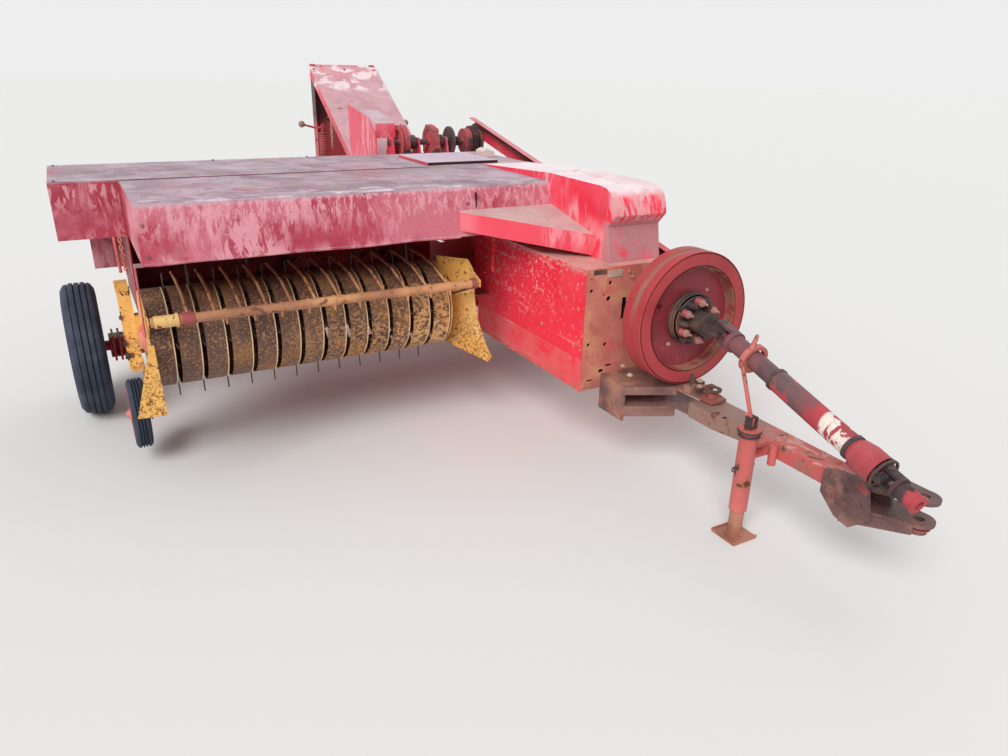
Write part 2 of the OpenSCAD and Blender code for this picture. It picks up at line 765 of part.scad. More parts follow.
module knotter_frame() {
    foot = chamber_top;
    color("firebrick") placed() difference() {
        union() {
            for (x = [chamber_x - 190, chamber_x - 10, chamber_x + 190])
                plate_x(x, 12) polygon([[knotter_y - 110, foot], [knotter_y + 110, foot],
                    [knotter_y + 40, knotter_z + 30], [knotter_y - 40, knotter_z + 30]]);
            block([chamber_x - 200, knotter_y - 110, foot], [chamber_x + 205, knotter_y - 70, foot + 12]);
            block([chamber_x - 200, knotter_y + 70, foot], [chamber_x + 205, knotter_y + 110, foot + 12]);
            plate_x(-426, 6) polygon(guard_fin);
            plate_x(-421, 131) polygon(guard_cover);
            block([-426, knotter_y, foot], [chamber_x - 180, knotter_y + 220, foot + 8]);
        }
        bar_x(chamber_x - 201, knotter_y, knotter_z, 410, knotter_r + pin_gap);
    }
}

// Discs on the knotter shaft: [x, width, radius]
knotter_discs = [[-268, 30, 105], [-60, 30, 100], [80, 14, 95], [185, 44, 80], [240, 20, 92]];

module knotter_shaft() {
    color("dimgray") placed() union() {
        bar_x(chamber_x - 200, knotter_y, knotter_z, knotter_left - chamber_x + 200, knotter_r);
        for (d = knotter_discs)
            bar_x(d[0], knotter_y, knotter_z, d[1], d[2]);
        bar_x(chain_x - 8, knotter_y, knotter_z, 16, rear_sprocket_r - chain_t / 2 - seat_gap);
        for (x = [-215, -20])
            bar_x(x, knotter_y, knotter_z, 50, 45);
    }
}

// The chain's slope, seen from the machine's left
chain_run = [knotter_y - output_y, knotter_z - output_z];
chain_l = norm(chain_run);
chain_slope = atan2(chain_run[1], chain_run[0]);

module along_chain(x, w) {
    translate([x, output_y, output_z]) rotate([90, 0, 90]) rotate(chain_slope) linear_extrude(w) children();
}

module drive_chain() {
    half = chain_t / 2;
    color("#3a2a22") placed() along_chain(chain_x - 8, 16) difference() {
        belt(front_sprocket_r + half, rear_sprocket_r + half, chain_l);
        belt(front_sprocket_r - half, rear_sprocket_r - half, chain_l);
    }
}

module chain_guard() {
    top_front = front_sprocket_r + 24;
    top_rear = rear_sprocket_r + 20;
    color("firebrick") placed() union() {
        along_chain(chain_x + 14, 4) polygon([[-60, top_front], [chain_l + 90, top_rear],
            [chain_l + 30, 40], [chain_l - 60, 20], [-60, -10]]);
        along_chain(chain_x - 22, 40) polygon([[-60, top_front], [chain_l + 90, top_rear],
            [chain_l + 90, top_rear + 4], [-60, top_front + 4]]);
        bar_x(chamber_left, -100, 890, chain_x + 15 - chamber_left, 10);
        for (p = [[100, 950], [450, 1025]])
            bar_x(chain_x + 15, p[0], p[1], twine_x - chain_x - 15, 8);
    }
}

// Twine box

module twine_box() {
    right = twine_x;
    left = twine_x + twine_w;
    top = twine_z + twine_h;
    color("firebrick") placed() union() {
        difference() {
            block([right, twine_y, twine_z], [left, twine_y + twine_l, top]);
            block([right + twine_wall, twine_y + twine_wall, twine_z + twine_wall],
                [left - twine_wall, twine_y + twine_l - twine_wall, top + 1]);
        }
        for (y = [twine_y + 100, twine_y + twine_l - 60])
            block([chamber_left, y, twine_z - 40], [left - 40, y + 40, twine_z]);
        for (y = [twine_y + 100, twine_y + twine_l - 160]) {
            block([lid_hinge_x - 4, y, lid_hinge_z - 24], [right + 1, y + 20, lid_hinge_z - 9]);
            bar_y(lid_hinge_x, y, lid_hinge_z, 60, 4);
            block([lid_hinge_x - 4, y, lid_hinge_z - 24], [lid_hinge_x + 4, y + 8, lid_hinge_z]);
        }
    }
}

module twine_lid() {
    left = twine_x + twine_w + lid_lip;
    low = twine_z + twine_h + seat_gap;
    color("indianred") placed() difference() {
        union() {
            block([twine_x - lid_lip, twine_y - lid_lip, low], [left, twine_y + twine_l + lid_lip, low + 4]);
            for (y = [twine_y + 100, twine_y + twine_l - 160]) {
                bar_y(lid_hinge_x, y + 12, lid_hinge_z, 46, 8);
                block([lid_hinge_x, y + 12, low], [twine_x, y + 58, low + 4]);
            }
        }
        for (y = [twine_y + 100, twine_y + twine_l - 160])
            bar_y(lid_hinge_x, y, lid_hinge_z, 70, 4 + pin_gap);
    }
}

// Pickup

// Only the right end plate reaches forward to hold the wind guard's pin
module end_plate_outline(holds_guard) {
    difference() {
        union() {
            translate([reel_y, reel_z]) circle(band_r - band_t);
            if (holds_guard)
                polygon([[reel_y - 60, reel_z + 170], [guard_y, guard_z + 20], [guard_y - 20, guard_z],
                    [guard_y, guard_z - 20], [reel_y - 170, reel_z + 40]]);
            polygon([[reel_y + 150, reel_z + 60], [lift_y - 60, lift_z + 32], [lift_y + 30, lift_z + 25],
                [lift_y + 30, lift_z - 22], [reel_y - 10, reel_z - 195]]);
        }
        translate([lift_y, lift_z]) circle(lift_pin_r + pin_gap);
        translate([reel_y, reel_z]) circle(reel_shaft_r + pin_gap);
        translate([guard_y, guard_z]) circle(guard_pin_r + pin_gap);
    }
}

// The beam behind the bands
beam_y = 170;
beam_z = 590;
beam_h = 40;

module pickup_frame() {
    color("darkorange") placed() union() {
        plate_x(pickup_right, end_t) end_plate_outline(true);
        plate_x(pickup_left, end_t) end_plate_outline(false);
        block([pickup_right + end_t, beam_y - beam_h / 2, beam_z - beam_h / 2],
            [pickup_left, beam_y + beam_h / 2, beam_z + beam_h / 2]);
    }
}

// One stripper band: a ring open at the back, with a straight run to the rear beam
module band() {
    // Turning about X: 0 degrees points to the rear, 90 up, 180 to the front
    rotate([90, 0, 90]) linear_extrude(band_w) union() {
        difference() {
            circle(band_r, $fn = 72);
            circle(band_r - band_t, $fn = 72);
            polygon([[0, 0], [400, -20], [400, -400], [90, -400]]);
            polygon([[0, 0], [400, -20], [400, 50], [260, 230]]);
        }
        for (run = [[42, 1], [-80, -1]]) {
            y = beam_y - reel_y;
            z = beam_z - reel_z + run[1] * beam_h / 2;
            polygon([[band_r * cos(run[0]), band_r * sin(run[0])], [y - 22, z + run[1] * band_t],
                [y + beam_h / 2, z + run[1] * band_t], [y + beam_h / 2, z], [y - 24, z],
                [(band_r - band_t) * cos(run[0]), (band_r - band_t) * sin(run[0])]]);
        }
    }
}

module pickup_bands() {
    color("saddlebrown") placed() for (i = [0:band_n - 1])
        translate([band_right + i * band_pitch, reel_y, reel_z]) band();
}

// The two dividers: a flare at the inner end and a pointed shield at the outer end
module crop_dividers() {
    color("orange") placed() {
        union() {
            translate([pickup_left + end_t + 7, -150, 0]) rotate([0, 0, -59])
                translate([0, -4, 0]) rotate([90, 0, 0]) linear_extrude(4)
                    polygon([[0, 828], [175, 833], [204, 790], [216, 637], [236, 540], [280, 430],
                        [315, 375], [292, 345], [58, 400], [0, 440]]);
            block([pickup_left + end_t, -154, 442], [pickup_left + end_t + 7, -60, 785]);
            plate_x(guard_left, 6) difference() {
                polygon([[guard_y - 18, guard_z - 16], [guard_y - 18, guard_z + 16], [-288, 806],
                    [-288, 730]]);
                translate([guard_y, guard_z]) circle(guard_pin_r + pin_gap);
            }
        }
        union() {
            translate([pickup_right, -430, 372]) rotate([-6.1, 0, 0]) rotate([90, 0, 0])
                linear_extrude(4) polygon([[12, 284], [-4, 284], [-87, 5], [20, 0]]);
            plate_x(pickup_right - 4, 4) polygon([[-402, 652], [-432, 376], [-330, 400], [-200, 520],
                [-230, 600]]);
        }
    }
}

module gauge_arm() {
    x = gauge_x + gauge_w / 2 + 8;
    color("darkorange") placed() union() {
        plate_x(gauge_x - 2, x - gauge_x + 7) polygon([[-28, 425], [28, 425], [180, 745], [124, 760]]);
        block([gauge_x - 8, 112, 742], [x, 184, 776]);
        plate_x(x, 8) polygon([[gauge_y - 30, gauge_z - 28], [gauge_y + 30, gauge_z - 28], [40, 460], [-26, 430]]);
        block([x, 40, 560], [pickup_right, 120, 640]);
        bar_x(gauge_x - 26, gauge_y, gauge_z, x - gauge_x + 27, 14);
    }
}

module gauge_rim() {
    color("dimgray") placed() translate([gauge_x, gauge_y, gauge_z]) rotate([0, 90, 0]) difference() {
        union() {
            rotate_extrude() polygon([[98, -32], [110, -32], [110, 32], [98, 32]]);
            translate([0, 0, -4]) cylinder(h = 8, r = 104);
            translate([0, 0, -34]) cylinder(h = 60, r = 30);
        }
        translate([0, 0, -60]) cylinder(h = 120, r = 14 + pin_gap);
    }
}

module gauge_tyre() {
    color("#2b2b2d") placed() translate([gauge_x, gauge_y, gauge_z]) tyre(gauge_r, 110, gauge_w, 3);
}

// The wind guard turns in the end plate and in a lug on the inner divider
module wind_guard() {
    right = pickup_right + end_t + 5;
    left = guard_left - 5;
    color("peru") placed() union() {
        bar_x(right, guard_y, guard_z, left - right, guard_r);
        bar_x(pickup_right, guard_y, guard_z, right - pickup_right + 1, guard_pin_r);
        bar_x(left - 1, guard_y, guard_z, guard_left + 8 - left, guard_pin_r);
        for (i = [1:guard_rods]) {
            x = band_right + i * band_pitch + band_w / 2;
            rod([x, guard_y, guard_z + 8], [x, -225, 808], 6);
            rod([x, -229, 807.3], [x, -90, 820], 6);
            rod([x, -94, 819.8], [x, 40, 822], 6);
        }
    }
}

module pickup_reel() {
    color("gray") placed() union() {
        bar_x(pickup_right, reel_y, reel_z, pickup_left + end_t - pickup_right, reel_shaft_r);
        for (x = [pickup_right + end_t + 8, bands_left - 20, (pickup_right + bands_left) / 2])
            bar_x(x, reel_y, reel_z, 8, tine_bar_ring + 14);
        for (b = [0:tine_bars - 1]) {
            a = b * 360 / tine_bars - 6;
            translate([0, reel_y, reel_z]) rotate([a, 0, 0]) {
                bar_x(pickup_right + end_t + 8, 0, -tine_bar_ring, bands_left - pickup_right - end_t - 20, 11);
                for (i = [1:band_n - 1])
                    translate([band_right + i * band_pitch - band_gap / 2, 0, -tine_tip_r])
                        cylinder(h = tine_tip_r - tine_bar_ring, r = tine_r, $fn = 8);
            }
        }
    }
}

// Flywheel and clutch

module flywheel() {
    mid = flywheel_front + flywheel_w / 2;
    color("darkred") placed() difference() {
        bar_y(0, flywheel_front, drive_z, flywheel_w, flywheel_r);
        bar_y(0, flywheel_front - 1, drive_z, mid - flywheel_front - web_t / 2 + 1, flywheel_in_r);
        bar_y(0, mid + web_t / 2, drive_z, 200, flywheel_in_r);
        translate([0, mid + 9, drive_z]) rotate([90, 0, 0]) rotate_extrude($fn = 96)
            translate([flywheel_r - groove_d, 0]) square([groove_d + 5, 18]);
        bar_y(-150, mid - 60, drive_z + 60, 120, 13);
        bar_y(0, mid - 60, drive_z, 120, drive_r);
    }
}

module slip_clutch() {
    mid = flywheel_front + flywheel_w / 2;
    face = mid - web_t / 2;
    back = mid + web_t / 2;
    neck = pivot_y + 62;
    color("#3b3230") placed() union() {
            bar_y(0, face - 10, drive_z, box_front + 46 - face, drive_r);
            bar_y(0, back, drive_z, 44, drive_r + 36);
            bar_y(0, face - 40, drive_z, 40, clutch_r);
            bar_y(0, neck + 20, drive_z, face - neck - 50, 46);
            bar_y(0, neck, drive_z, 21, 52);
            for (i = [0:spring_n - 1])
                translate([0, 0, drive_z]) rotate([0, i * 360 / spring_n, 0]) {
                    bar_y(80, face - 96, 0, 60, 7);
                    bar_y(80, face - 82, 0, 43, 13);
                }
            for (side = [-1, 1])
                block([side * ear_ring - 6, pivot_y - 17, drive_z - 17],
                    [side * ear_ring + 6, neck + 2, drive_z + 17]);
            bar_x(-ear_ring, pivot_y, drive_z, 2 * ear_ring, 8);
            bar_y(0, pivot_y - 10, drive_z, 20, 14);
    }
}

// Drive shaft

module shaft_tube() {
    color("#5a2f2f") placed() along_shaft() difference() {
        union() {
            for (side = [-1, 1])
                union() {
                    translate([-17, side * ear_ring - 6, -16]) cube([34, 12, 90]);
                    translate([0, side * 17.3, 0]) rotate([-side * 90, 0, 0]) cylinder(h = 18, r = 8);
                }
            translate([0, 0, 72]) cylinder(h = 22, r = ear_ring + 8);
            translate([0, 0, 92]) cylinder(h = 260, r = inner_tube_r);
            translate([0, 0, 330]) cylinder(h = shaft_tube_l - 330, r = shaft_r);
            translate([0, 0, shaft_tube_l - 1]) cylinder(h = front_joint - shaft_tube_l - 50, r = 21);
            translate([0, 0, front_joint - 62]) cylinder(h = 20, r = ear_ring + 4);
            for (side = [-1, 1])
                translate([side * (ear_ring - 4) - 6, -15, front_joint - 60]) cube([12, 30, 76]);
            translate([0, 0, front_joint - 14]) cylinder(h = 28, r = 18);
            translate([-ear_ring, 0, front_joint]) rotate([0, 90, 0]) cylinder(h = 2 * ear_ring, r = 8);
            translate([0, ear_ring, front_joint]) rotate([90, 0, 0]) cylinder(h = 2 * ear_ring, r = 8);
            for (side = [-1, 1])
                translate([-15, side * (ear_ring - 4) - 6, front_joint - 16]) cube([30, 12, 66]);
            translate([0, 0, front_joint + 46]) cylinder(h = 16, r = ear_ring + 2);
            translate([0, 0, front_joint + 46]) cylinder(h = front_yoke_l - 46, r = yoke_r);
        }
        translate([0, 0, front_joint + front_yoke_l - spline_l]) cylinder(h = spline_l + 1, r = spline_r);
    }
}

module shaft_bell() {
    color("#6d1f1f") placed() along_shaft() difference() {
        union() {
            translate([0, 0, shaft_tube_l - 40]) cylinder(h = 42, r1 = shaft_r + 6, r2 = bell_r);
            translate([0, 0, shaft_tube_l]) cylinder(h = bell_l - 40, r = bell_r);
        }
        translate([0, 0, shaft_tube_l - 41]) cylinder(h = 60, r = shaft_r);
        translate([0, 0, shaft_tube_l + 8]) cylinder(h = bell_l, r = bell_r - 4);
    }
}

// Tongue, hitch and jack

module tongue_bracket() {
    up = tongue_z + tongue_h + pass_gap;
    low = tongue_z - pass_gap - hitch_t;
    outline = [[-264, box_front], [chamber_left - 25, box_front], [75, -1200], [40, pivot_y - 40],
        [-40, pivot_y - 40], [-60, -1187], [-264, -1087]];
    lip = [[-264, -1087], [-60, -1187], [-60, -1179], [-264, -1079]];
    color("sienna") placed() union() {
        for (z = [low, up])
            translate([0, 0, z]) linear_extrude(hitch_t) polygon(outline);
        translate([0, 0, up - 24]) linear_extrude(25) polygon(lip);
        translate([0, 0, low - 36]) linear_extrude(37) polygon(lip);
        block([-264, -1082, low - 60], [-252, box_front, up + 1]);
        block([chamber_left - 25 - hitch_t, box_front - 88, low], [chamber_left - 25, box_front, up + 1]);
        translate([0, pivot_y, low - 20]) cylinder(h = up - low + hitch_t + 40, r = pivot_r);
        block([-60, -1270, up + hitch_t - 1], [10, -1225, up + hitch_t + 26]);
    }
}

module tongue() {
    color("firebrick") placed() difference() {
        union() {
            block([-tongue_w / 2, tongue_front, tongue_z], [tongue_w / 2, pivot_y, tongue_z + tongue_h]);
            translate([0, pivot_y, tongue_z]) cylinder(h = tongue_h, r = tongue_w / 2);
            translate([0, 0, tongue_z]) linear_extrude(tongue_h)
                polygon([[1 - tongue_w / 2, -1640], [-92, -1440], [-92, pivot_y + 35],
                    [1 - tongue_w / 2, pivot_y + 35]]);
        }
        block([-tongue_w / 2 + tongue_wall, tongue_front - 1, tongue_z + tongue_wall],
            [tongue_w / 2 - tongue_wall, pivot_y - 90, tongue_z + tongue_h - tongue_wall]);
        translate([0, pivot_y, tongue_z - 1]) cylinder(h = tongue_h + 2, r = pivot_r + pin_gap);
    }
}

module hitch() {
    upper = clevis_z + clevis_gap;
    half = tongue_w / 2;
    outline = [[-half, tongue_front], [half + hitch_t, tongue_front], [hitch_x + 48, -2150],
        [hitch_x + 48, hitch_y], [hitch_x - 48, hitch_y], [-half, -2140]];
    color("#54332c") placed() difference() {
        union() {
            for (z = [clevis_z - hitch_t, upper])
                translate([0, 0, z]) linear_extrude(hitch_t) union() {
                    polygon(outline);
                    translate([hitch_x, hitch_y]) circle(50);
                }
            for (x = [-half - hitch_t, half])
                plate_x(x, hitch_t) polygon([[tongue_front - 110, 300], [tongue_front - 40, 236],
                    [tongue_front + 20, 250], [tongue_front + 90, 312], [tongue_front + 90, 400],
                    [tongue_front + 20, 425], [tongue_front - 80, 420]]);
            translate([-half - 11, -2042, 0]) rotate([0, 0, -69.9]) rotate([90, 0, 0]) linear_extrude(8)
                polygon([[0, 244], [0, clevis_z - 1], [224, clevis_z - 1], [224, 288]]);
            translate([hitch_x, hitch_y, clevis_z - hitch_t - boss_h]) cylinder(h = boss_h + 1, r = 32);
        }
        translate([hitch_x, hitch_y, clevis_z - hitch_t - boss_h - 1])
            cylinder(h = clevis_gap + 2 * hitch_t + boss_h + 2, r = hitch_pin_r);
    }
}

module jack_tube() {
    color("indianred") placed() difference() {
        union() {
            translate([jack_x, jack_y, jack_low]) cylinder(h = jack_top - jack_low, r = jack_r);
            translate([jack_x, jack_y, jack_top - 16]) cylinder(h = 16, r = jack_r + 8);
            for (z = [tongue_z + 4, tongue_z + tongue_h - 16])
                block([jack_x, jack_y - 20, z], [-tongue_w / 2, jack_y + 20, z + 12]);
            translate([-tongue_w / 2 - 16, jack_y - 48, tongue_z - 22]) cylinder(h = tongue_h + 16, r = 16);
            block([-tongue_w / 2 - 12, jack_y - 60, tongue_z + 2],
                [-tongue_w / 2, jack_y + 40, tongue_z + tongue_h - 2]);
        }
        translate([jack_x, jack_y, jack_low - 1])
            cylinder(h = jack_top - jack_low - 8, r = jack_leg_r + pin_gap);
    }
}

module jack_leg() {
    color("sienna") placed() translate([jack_x, jack_y, 0]) union() {
        cylinder(h = jack_low + 70, r = jack_leg_r);
        translate([-60, -60, 0]) cube([120, 120, 10]);
    }
}

module shaft_cradle() {
    s = 185;
    color("firebrick") placed() union() {
        along_shaft() translate([0, 0, s]) difference() {
            cylinder(h = 26, r = inner_tube_r + 12);
            translate([0, 0, -1]) cylinder(h = 28, r = inner_tube_r + pin_gap);
            translate([-100, 0, -1]) cube([200, 100, 30]);
        }
        translate([jack_x, jack_y, jack_top]) cylinder(h = 40, r = 12);
        rod([jack_x, jack_y, jack_top + 30], [0, pivot_y, drive_z] + (s + 13) * shaft_dir
            - 41 * shaft_side - 23.5 * shaft_up, 8);
    }
}

// Bale chute, folded up for the road

module chute_base() {
    right = chamber_x - chute_w / 2;
    left = chamber_x + chute_w / 2;
    color("firebrick") placed() difference() {
        union() {
            block([right, chute_plate_y - sheet, chute_z + 30], [left, chute_plate_y, ext_z]);
            for (x = [right, left - sheet])
                plate_x(x, sheet) union() {
                    polygon([[chute_plate_y, chute_z - 12], [chute_plate_y, ext_z - 14],
                        [chute_plate_y - chute_flange, ext_z - 14 - chute_flange * tan(ext_angle)],
                        [chute_plate_y - chute_flange, chute_z]]);
                    translate([chute_y, chute_z]) circle(chute_ear_r);
                }
            for (x = [right, left - 40])
                bar_x(x, chute_plate_y, ext_z, 40, ext_pin_r + 4);
        }
        bar_x(right - 1, chute_y, chute_z, chute_w + 2, chute_pin_r + pin_gap);
        bar_x(right - 1, chute_plate_y, ext_z, chute_w + 2, ext_pin_r + pin_gap);
    }
}

module chute_extension() {
    right = chamber_x - chute_w / 2 - pass_gap - sheet;
    w = chute_w + 2 * pass_gap + 2 * sheet;
    color("palevioletred") placed() translate([right, chute_plate_y, ext_z]) union() {
        rotate([ext_angle, 0, 0]) union() {
            translate([0, -chute_ext_l, 0]) cube([w, chute_ext_l - 16, sheet]);
            translate([60, -17, 0]) cube([w - 120, 17, sheet]);
            for (x = [0, w - sheet])
                translate([x, -chute_ext_l, -ext_flange]) cube([sheet, chute_ext_l - 55, ext_flange + sheet]);
        }
        bar_x(0, 0, 0, w, ext_pin_r);
    }
}

front_plate();
front_box();
bale_chamber();
bale_tension();
gearbox();
plunger();
drive_shield();
step_shelf();
feeder_hood();
feeder_cover();
feeder_platform();
feeder_bar();
main_axle();
needle_yoke();
knotter_frame();
knotter_shaft();
chain_guard();
drive_chain();
twine_box();
tongue_bracket();
twine_lid();
right_rim();
right_tyre();
left_rim();
left_tyre();
pickup_frame();
pickup_bands();
crop_dividers();
gauge_arm();
gauge_rim();
gauge_tyre();
wind_guard();
pickup_reel();
flywheel();
slip_clutch();
shaft_tube();
shaft_bell();
tongue();
hitch();
jack_tube();
jack_leg();
shaft_cradle();
chute_base();
chute_extension();
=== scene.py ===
import json
import math
from functools import partial

import bmesh
import bpy
from mathutils import Euler, Matrix, Vector, noise

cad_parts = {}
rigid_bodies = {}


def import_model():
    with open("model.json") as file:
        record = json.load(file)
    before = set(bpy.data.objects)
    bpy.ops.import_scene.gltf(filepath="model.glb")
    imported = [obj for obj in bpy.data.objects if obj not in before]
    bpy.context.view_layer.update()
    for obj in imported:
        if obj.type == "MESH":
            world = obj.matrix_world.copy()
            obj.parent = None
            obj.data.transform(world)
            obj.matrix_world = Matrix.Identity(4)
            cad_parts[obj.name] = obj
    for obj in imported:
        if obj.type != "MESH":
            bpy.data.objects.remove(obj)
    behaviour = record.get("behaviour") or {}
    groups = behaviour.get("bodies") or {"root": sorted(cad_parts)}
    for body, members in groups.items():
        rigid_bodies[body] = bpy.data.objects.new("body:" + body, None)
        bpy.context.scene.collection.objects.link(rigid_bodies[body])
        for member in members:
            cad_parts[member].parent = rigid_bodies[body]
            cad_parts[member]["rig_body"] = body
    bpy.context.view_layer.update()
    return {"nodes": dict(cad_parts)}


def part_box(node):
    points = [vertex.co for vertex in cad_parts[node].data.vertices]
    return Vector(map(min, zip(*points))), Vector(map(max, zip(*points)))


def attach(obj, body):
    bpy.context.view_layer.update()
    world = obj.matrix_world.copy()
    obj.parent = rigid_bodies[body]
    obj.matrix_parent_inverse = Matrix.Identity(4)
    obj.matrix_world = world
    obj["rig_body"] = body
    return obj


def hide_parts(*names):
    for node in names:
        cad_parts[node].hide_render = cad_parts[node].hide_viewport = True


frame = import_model()
print("frame loaded")

# All places below are in millimetres on the machine: x to its left from the flywheel shaft, y to the rear, z up
flywheelFront, flywheelAxis = -1176, 706
bandStart, bandPitch = -2007, 100
flywheelLow, flywheelHigh = (Vector(corner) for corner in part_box("flywheel"))
originShift = Vector(((flywheelLow.x + flywheelHigh.x) / 2, flywheelLow.y - flywheelFront / 1000, 0))


def at(x, y, z):
    return originShift + Vector((x, y, z)) / 1000


def aim(direction):
    return Vector(direction).to_track_quat("Z", "Y").to_matrix().to_4x4()


def addObject(name, data):
    new = bpy.data.objects.new(name, data)
    bpy.context.scene.collection.objects.link(new)
    return new


def addNode(tree, kind, settings=None, **inputs):
    new = tree.nodes.new(kind)
    for key, value in (settings or {}).items():
        setattr(new, key, value)
    for key, value in inputs.items():
        new.inputs[key].default_value = value
    return new


# Camera, lamps and floor

cameraView = {"place": (-2171, -3424, 1658), "right": (0.87482, -0.48404, 0.01991),
              "up": (0.16670, 0.33936, 0.92577), "forward": (0.45487, 0.80656, -0.37757), "lens": 27.1}

cameraData = bpy.data.cameras.new("camera")
cameraData.lens = cameraView["lens"]
cameraData.sensor_width = 36
cameraData.clip_end = 200
camera = addObject("camera", cameraData)
turn = Matrix((cameraView["right"], cameraView["up"], -Vector(cameraView["forward"]))).transposed()
camera.matrix_world = Matrix.Translation(at(*cameraView["place"])) @ turn.to_4x4()
bpy.context.scene.camera = camera

lampTable = {  # where the light comes from, spread in degrees, strength
    "keySun": ((-0.85, -0.68, 0.92), 38, 2.32),
    "fillSun": ((0.9, 0.35, 0.9), 60, 0.35),
}

for lampName, (lampFrom, spread, power) in lampTable.items():
    lampData = bpy.data.lights.new(lampName, "SUN")
    lampData.angle = math.radians(spread)
    lampData.energy = power
    addObject(lampName, lampData).matrix_world = aim(lampFrom)

worldStrength = 0.5
backdropTone = 0.85
world = bpy.data.worlds.new("studio")
world.use_nodes = True
bpy.context.scene.world = world
worldTree = world.node_tree
background = worldTree.nodes["Background"]
background.inputs["Color"].default_value = (1, 1, 1, 1)
rays = addNode(worldTree, "ShaderNodeLightPath")
shown = rays.outputs["Is Camera Ray"]
for rayKind in ("Is Glossy Ray", "Is Transmission Ray"):
    either = addNode(worldTree, "ShaderNodeMath", {"operation": "MAXIMUM"})
    worldTree.links.new(shown, either.inputs[0])
    worldTree.links.new(rays.outputs[rayKind], either.inputs[1])
    shown = either.outputs[0]
strength = addNode(worldTree, "ShaderNodeMapRange")
strength.inputs["To Min"].default_value = worldStrength
strength.inputs["To Max"].default_value = backdropTone
worldTree.links.new(shown, strength.inputs["Value"])
worldTree.links.new(strength.outputs[0], background.inputs["Strength"])

bpy.context.scene.view_settings.view_transform = "Standard"

floorLook = {"size": 90, "color": (0.78, 0.78, 0.77, 1), "roughness": 0.9}
floorMesh = bpy.data.meshes.new("floor")
floorShape = bmesh.new()
bmesh.ops.create_grid(floorShape, x_segments=1, y_segments=1, size=floorLook["size"])
floorShape.to_mesh(floorMesh)
floorShape.free()
floorObject = addObject("floor", floorMesh)
floorMaterial = bpy.data.materials.new("paleFloor")
floorMaterial.use_nodes = True
floorShader = floorMaterial.node_tree.nodes["Principled BSDF"]
floorShader.inputs["Base Color"].default_value = floorLook["color"]
floorShader.inputs["Roughness"].default_value = floorLook["roughness"]
floorMesh.materials.append(floorMaterial)
print("camera, lamps and floor set")


# Materials. Every mask is a noise on the object's own metres, cut between two levels.

def remap(tree, value, low, high, toLow=0.0, toHigh=1.0):
    cut = addNode(tree, "ShaderNodeMapRange", {"interpolation_type": "SMOOTHSTEP"})
    for socket, number in (("From Min", low), ("From Max", high), ("To Min", toLow), ("To Max", toHigh)):
        cut.inputs[socket].default_value = number
    tree.links.new(value, cut.inputs["Value"])
    return cut.outputs["Result"]


def noiseMask(tree, coords, scale, low, high, detail=4.0, stretch=(1, 1, 1), shift=0.0, twist=0.0, amount=1.0):
    mapping = addNode(tree, "ShaderNodeMapping", Scale=stretch, Location=(shift, shift * 0.7, shift * 1.3))
    tree.links.new(coords, mapping.inputs["Vector"])
    grain = addNode(tree, "ShaderNodeTexNoise", Scale=scale, Detail=detail, Roughness=0.6, Distortion=twist)
    tree.links.new(mapping.outputs["Vector"], grain.inputs["Vector"])
    return remap(tree, grain.outputs["Fac"], low, high, 0, amount)


def multiply(tree, first, second):
    product = addNode(tree, "ShaderNodeMath", {"operation": "MULTIPLY"})
    for index, value in enumerate((first, second)):
        if isinstance(value, (int, float)):
            product.inputs[index].default_value = value
        else:
            tree.links.new(value, product.inputs[index])
    return product.outputs[0]


def placeValue(tree, place, axis):
    # X, Y or Z in metres, R the distance from the flywheel's axis, B the place across one stripper band
    if axis == "R":
        hub = at(0, 0, flywheelAxis)
        mapping = addNode(tree, "ShaderNodeMapping", Location=(-hub.x, 0, -hub.z), Scale=(1, 0, 1))
        tree.links.new(place, mapping.inputs["Vector"])
        size = addNode(tree, "ShaderNodeVectorMath", {"operation": "LENGTH"})
        tree.links.new(mapping.outputs["Vector"], size.inputs[0])
        return size.outputs["Value"]
    parts = addNode(tree, "ShaderNodeSeparateXYZ")
    tree.links.new(place, parts.inputs[0])
    if axis != "B":
        return parts.outputs[axis]
    across = addNode(tree, "ShaderNodeMath", {"operation": "MULTIPLY_ADD"})
    across.inputs[1].default_value = 1000 / bandPitch
    across.inputs[2].default_value = -1000 / bandPitch * at(bandStart, 0, 0).x
    tree.links.new(parts.outputs["X"], across.inputs[0])
    left = addNode(tree, "ShaderNodeMath", {"operation": "FRACT"})
    tree.links.new(across.outputs[0], left.inputs[0])
    return left.outputs[0]


def blendColor(tree, mask, under, over):
    mix = addNode(tree, "ShaderNodeMix", {"data_type": "RGBA"})
    tree.links.new(mask, mix.inputs["Factor"])
    for socket, value in ((mix.inputs[6], under), (mix.inputs[7], over)):
        if isinstance(value, tuple):
            socket.default_value = (*value, 1)
        else:
            tree.links.new(value, socket)
    return mix.outputs[2]


def levelAt(axis, value):
    # a place in the machine's millimetres as placeValue gives it; B is a share of one band's pitch
    if axis in "RB":
        return value / 1000 if axis == "R" else value
    index = "XYZ".index(axis)
    return at(*(value if other == index else 0 for other in range(3)))[index]


def addOverlays(tree, place, color, overlays):
    # each is (colour, amount, noise scale, cut, stretch, [(axis, where it starts, where it is full), ...])
    for index, (tone, amount, scale, cut, stretch, limits) in enumerate(overlays):
        mask = noiseMask(tree, place, scale, *cut, detail=6, stretch=stretch, shift=31 + index * 3, twist=0.5,
                         amount=amount)
        for axis, low, high in limits:
            level = remap(tree, placeValue(tree, place, axis), levelAt(axis, low), levelAt(axis, high))
            mask = multiply(tree, mask, level)
        color = blendColor(tree, mask, color, tone)
    return color


def limitedTo(axis, low, high, soft=4):
    return [(axis, low - soft, low), (axis, high + soft, high)]


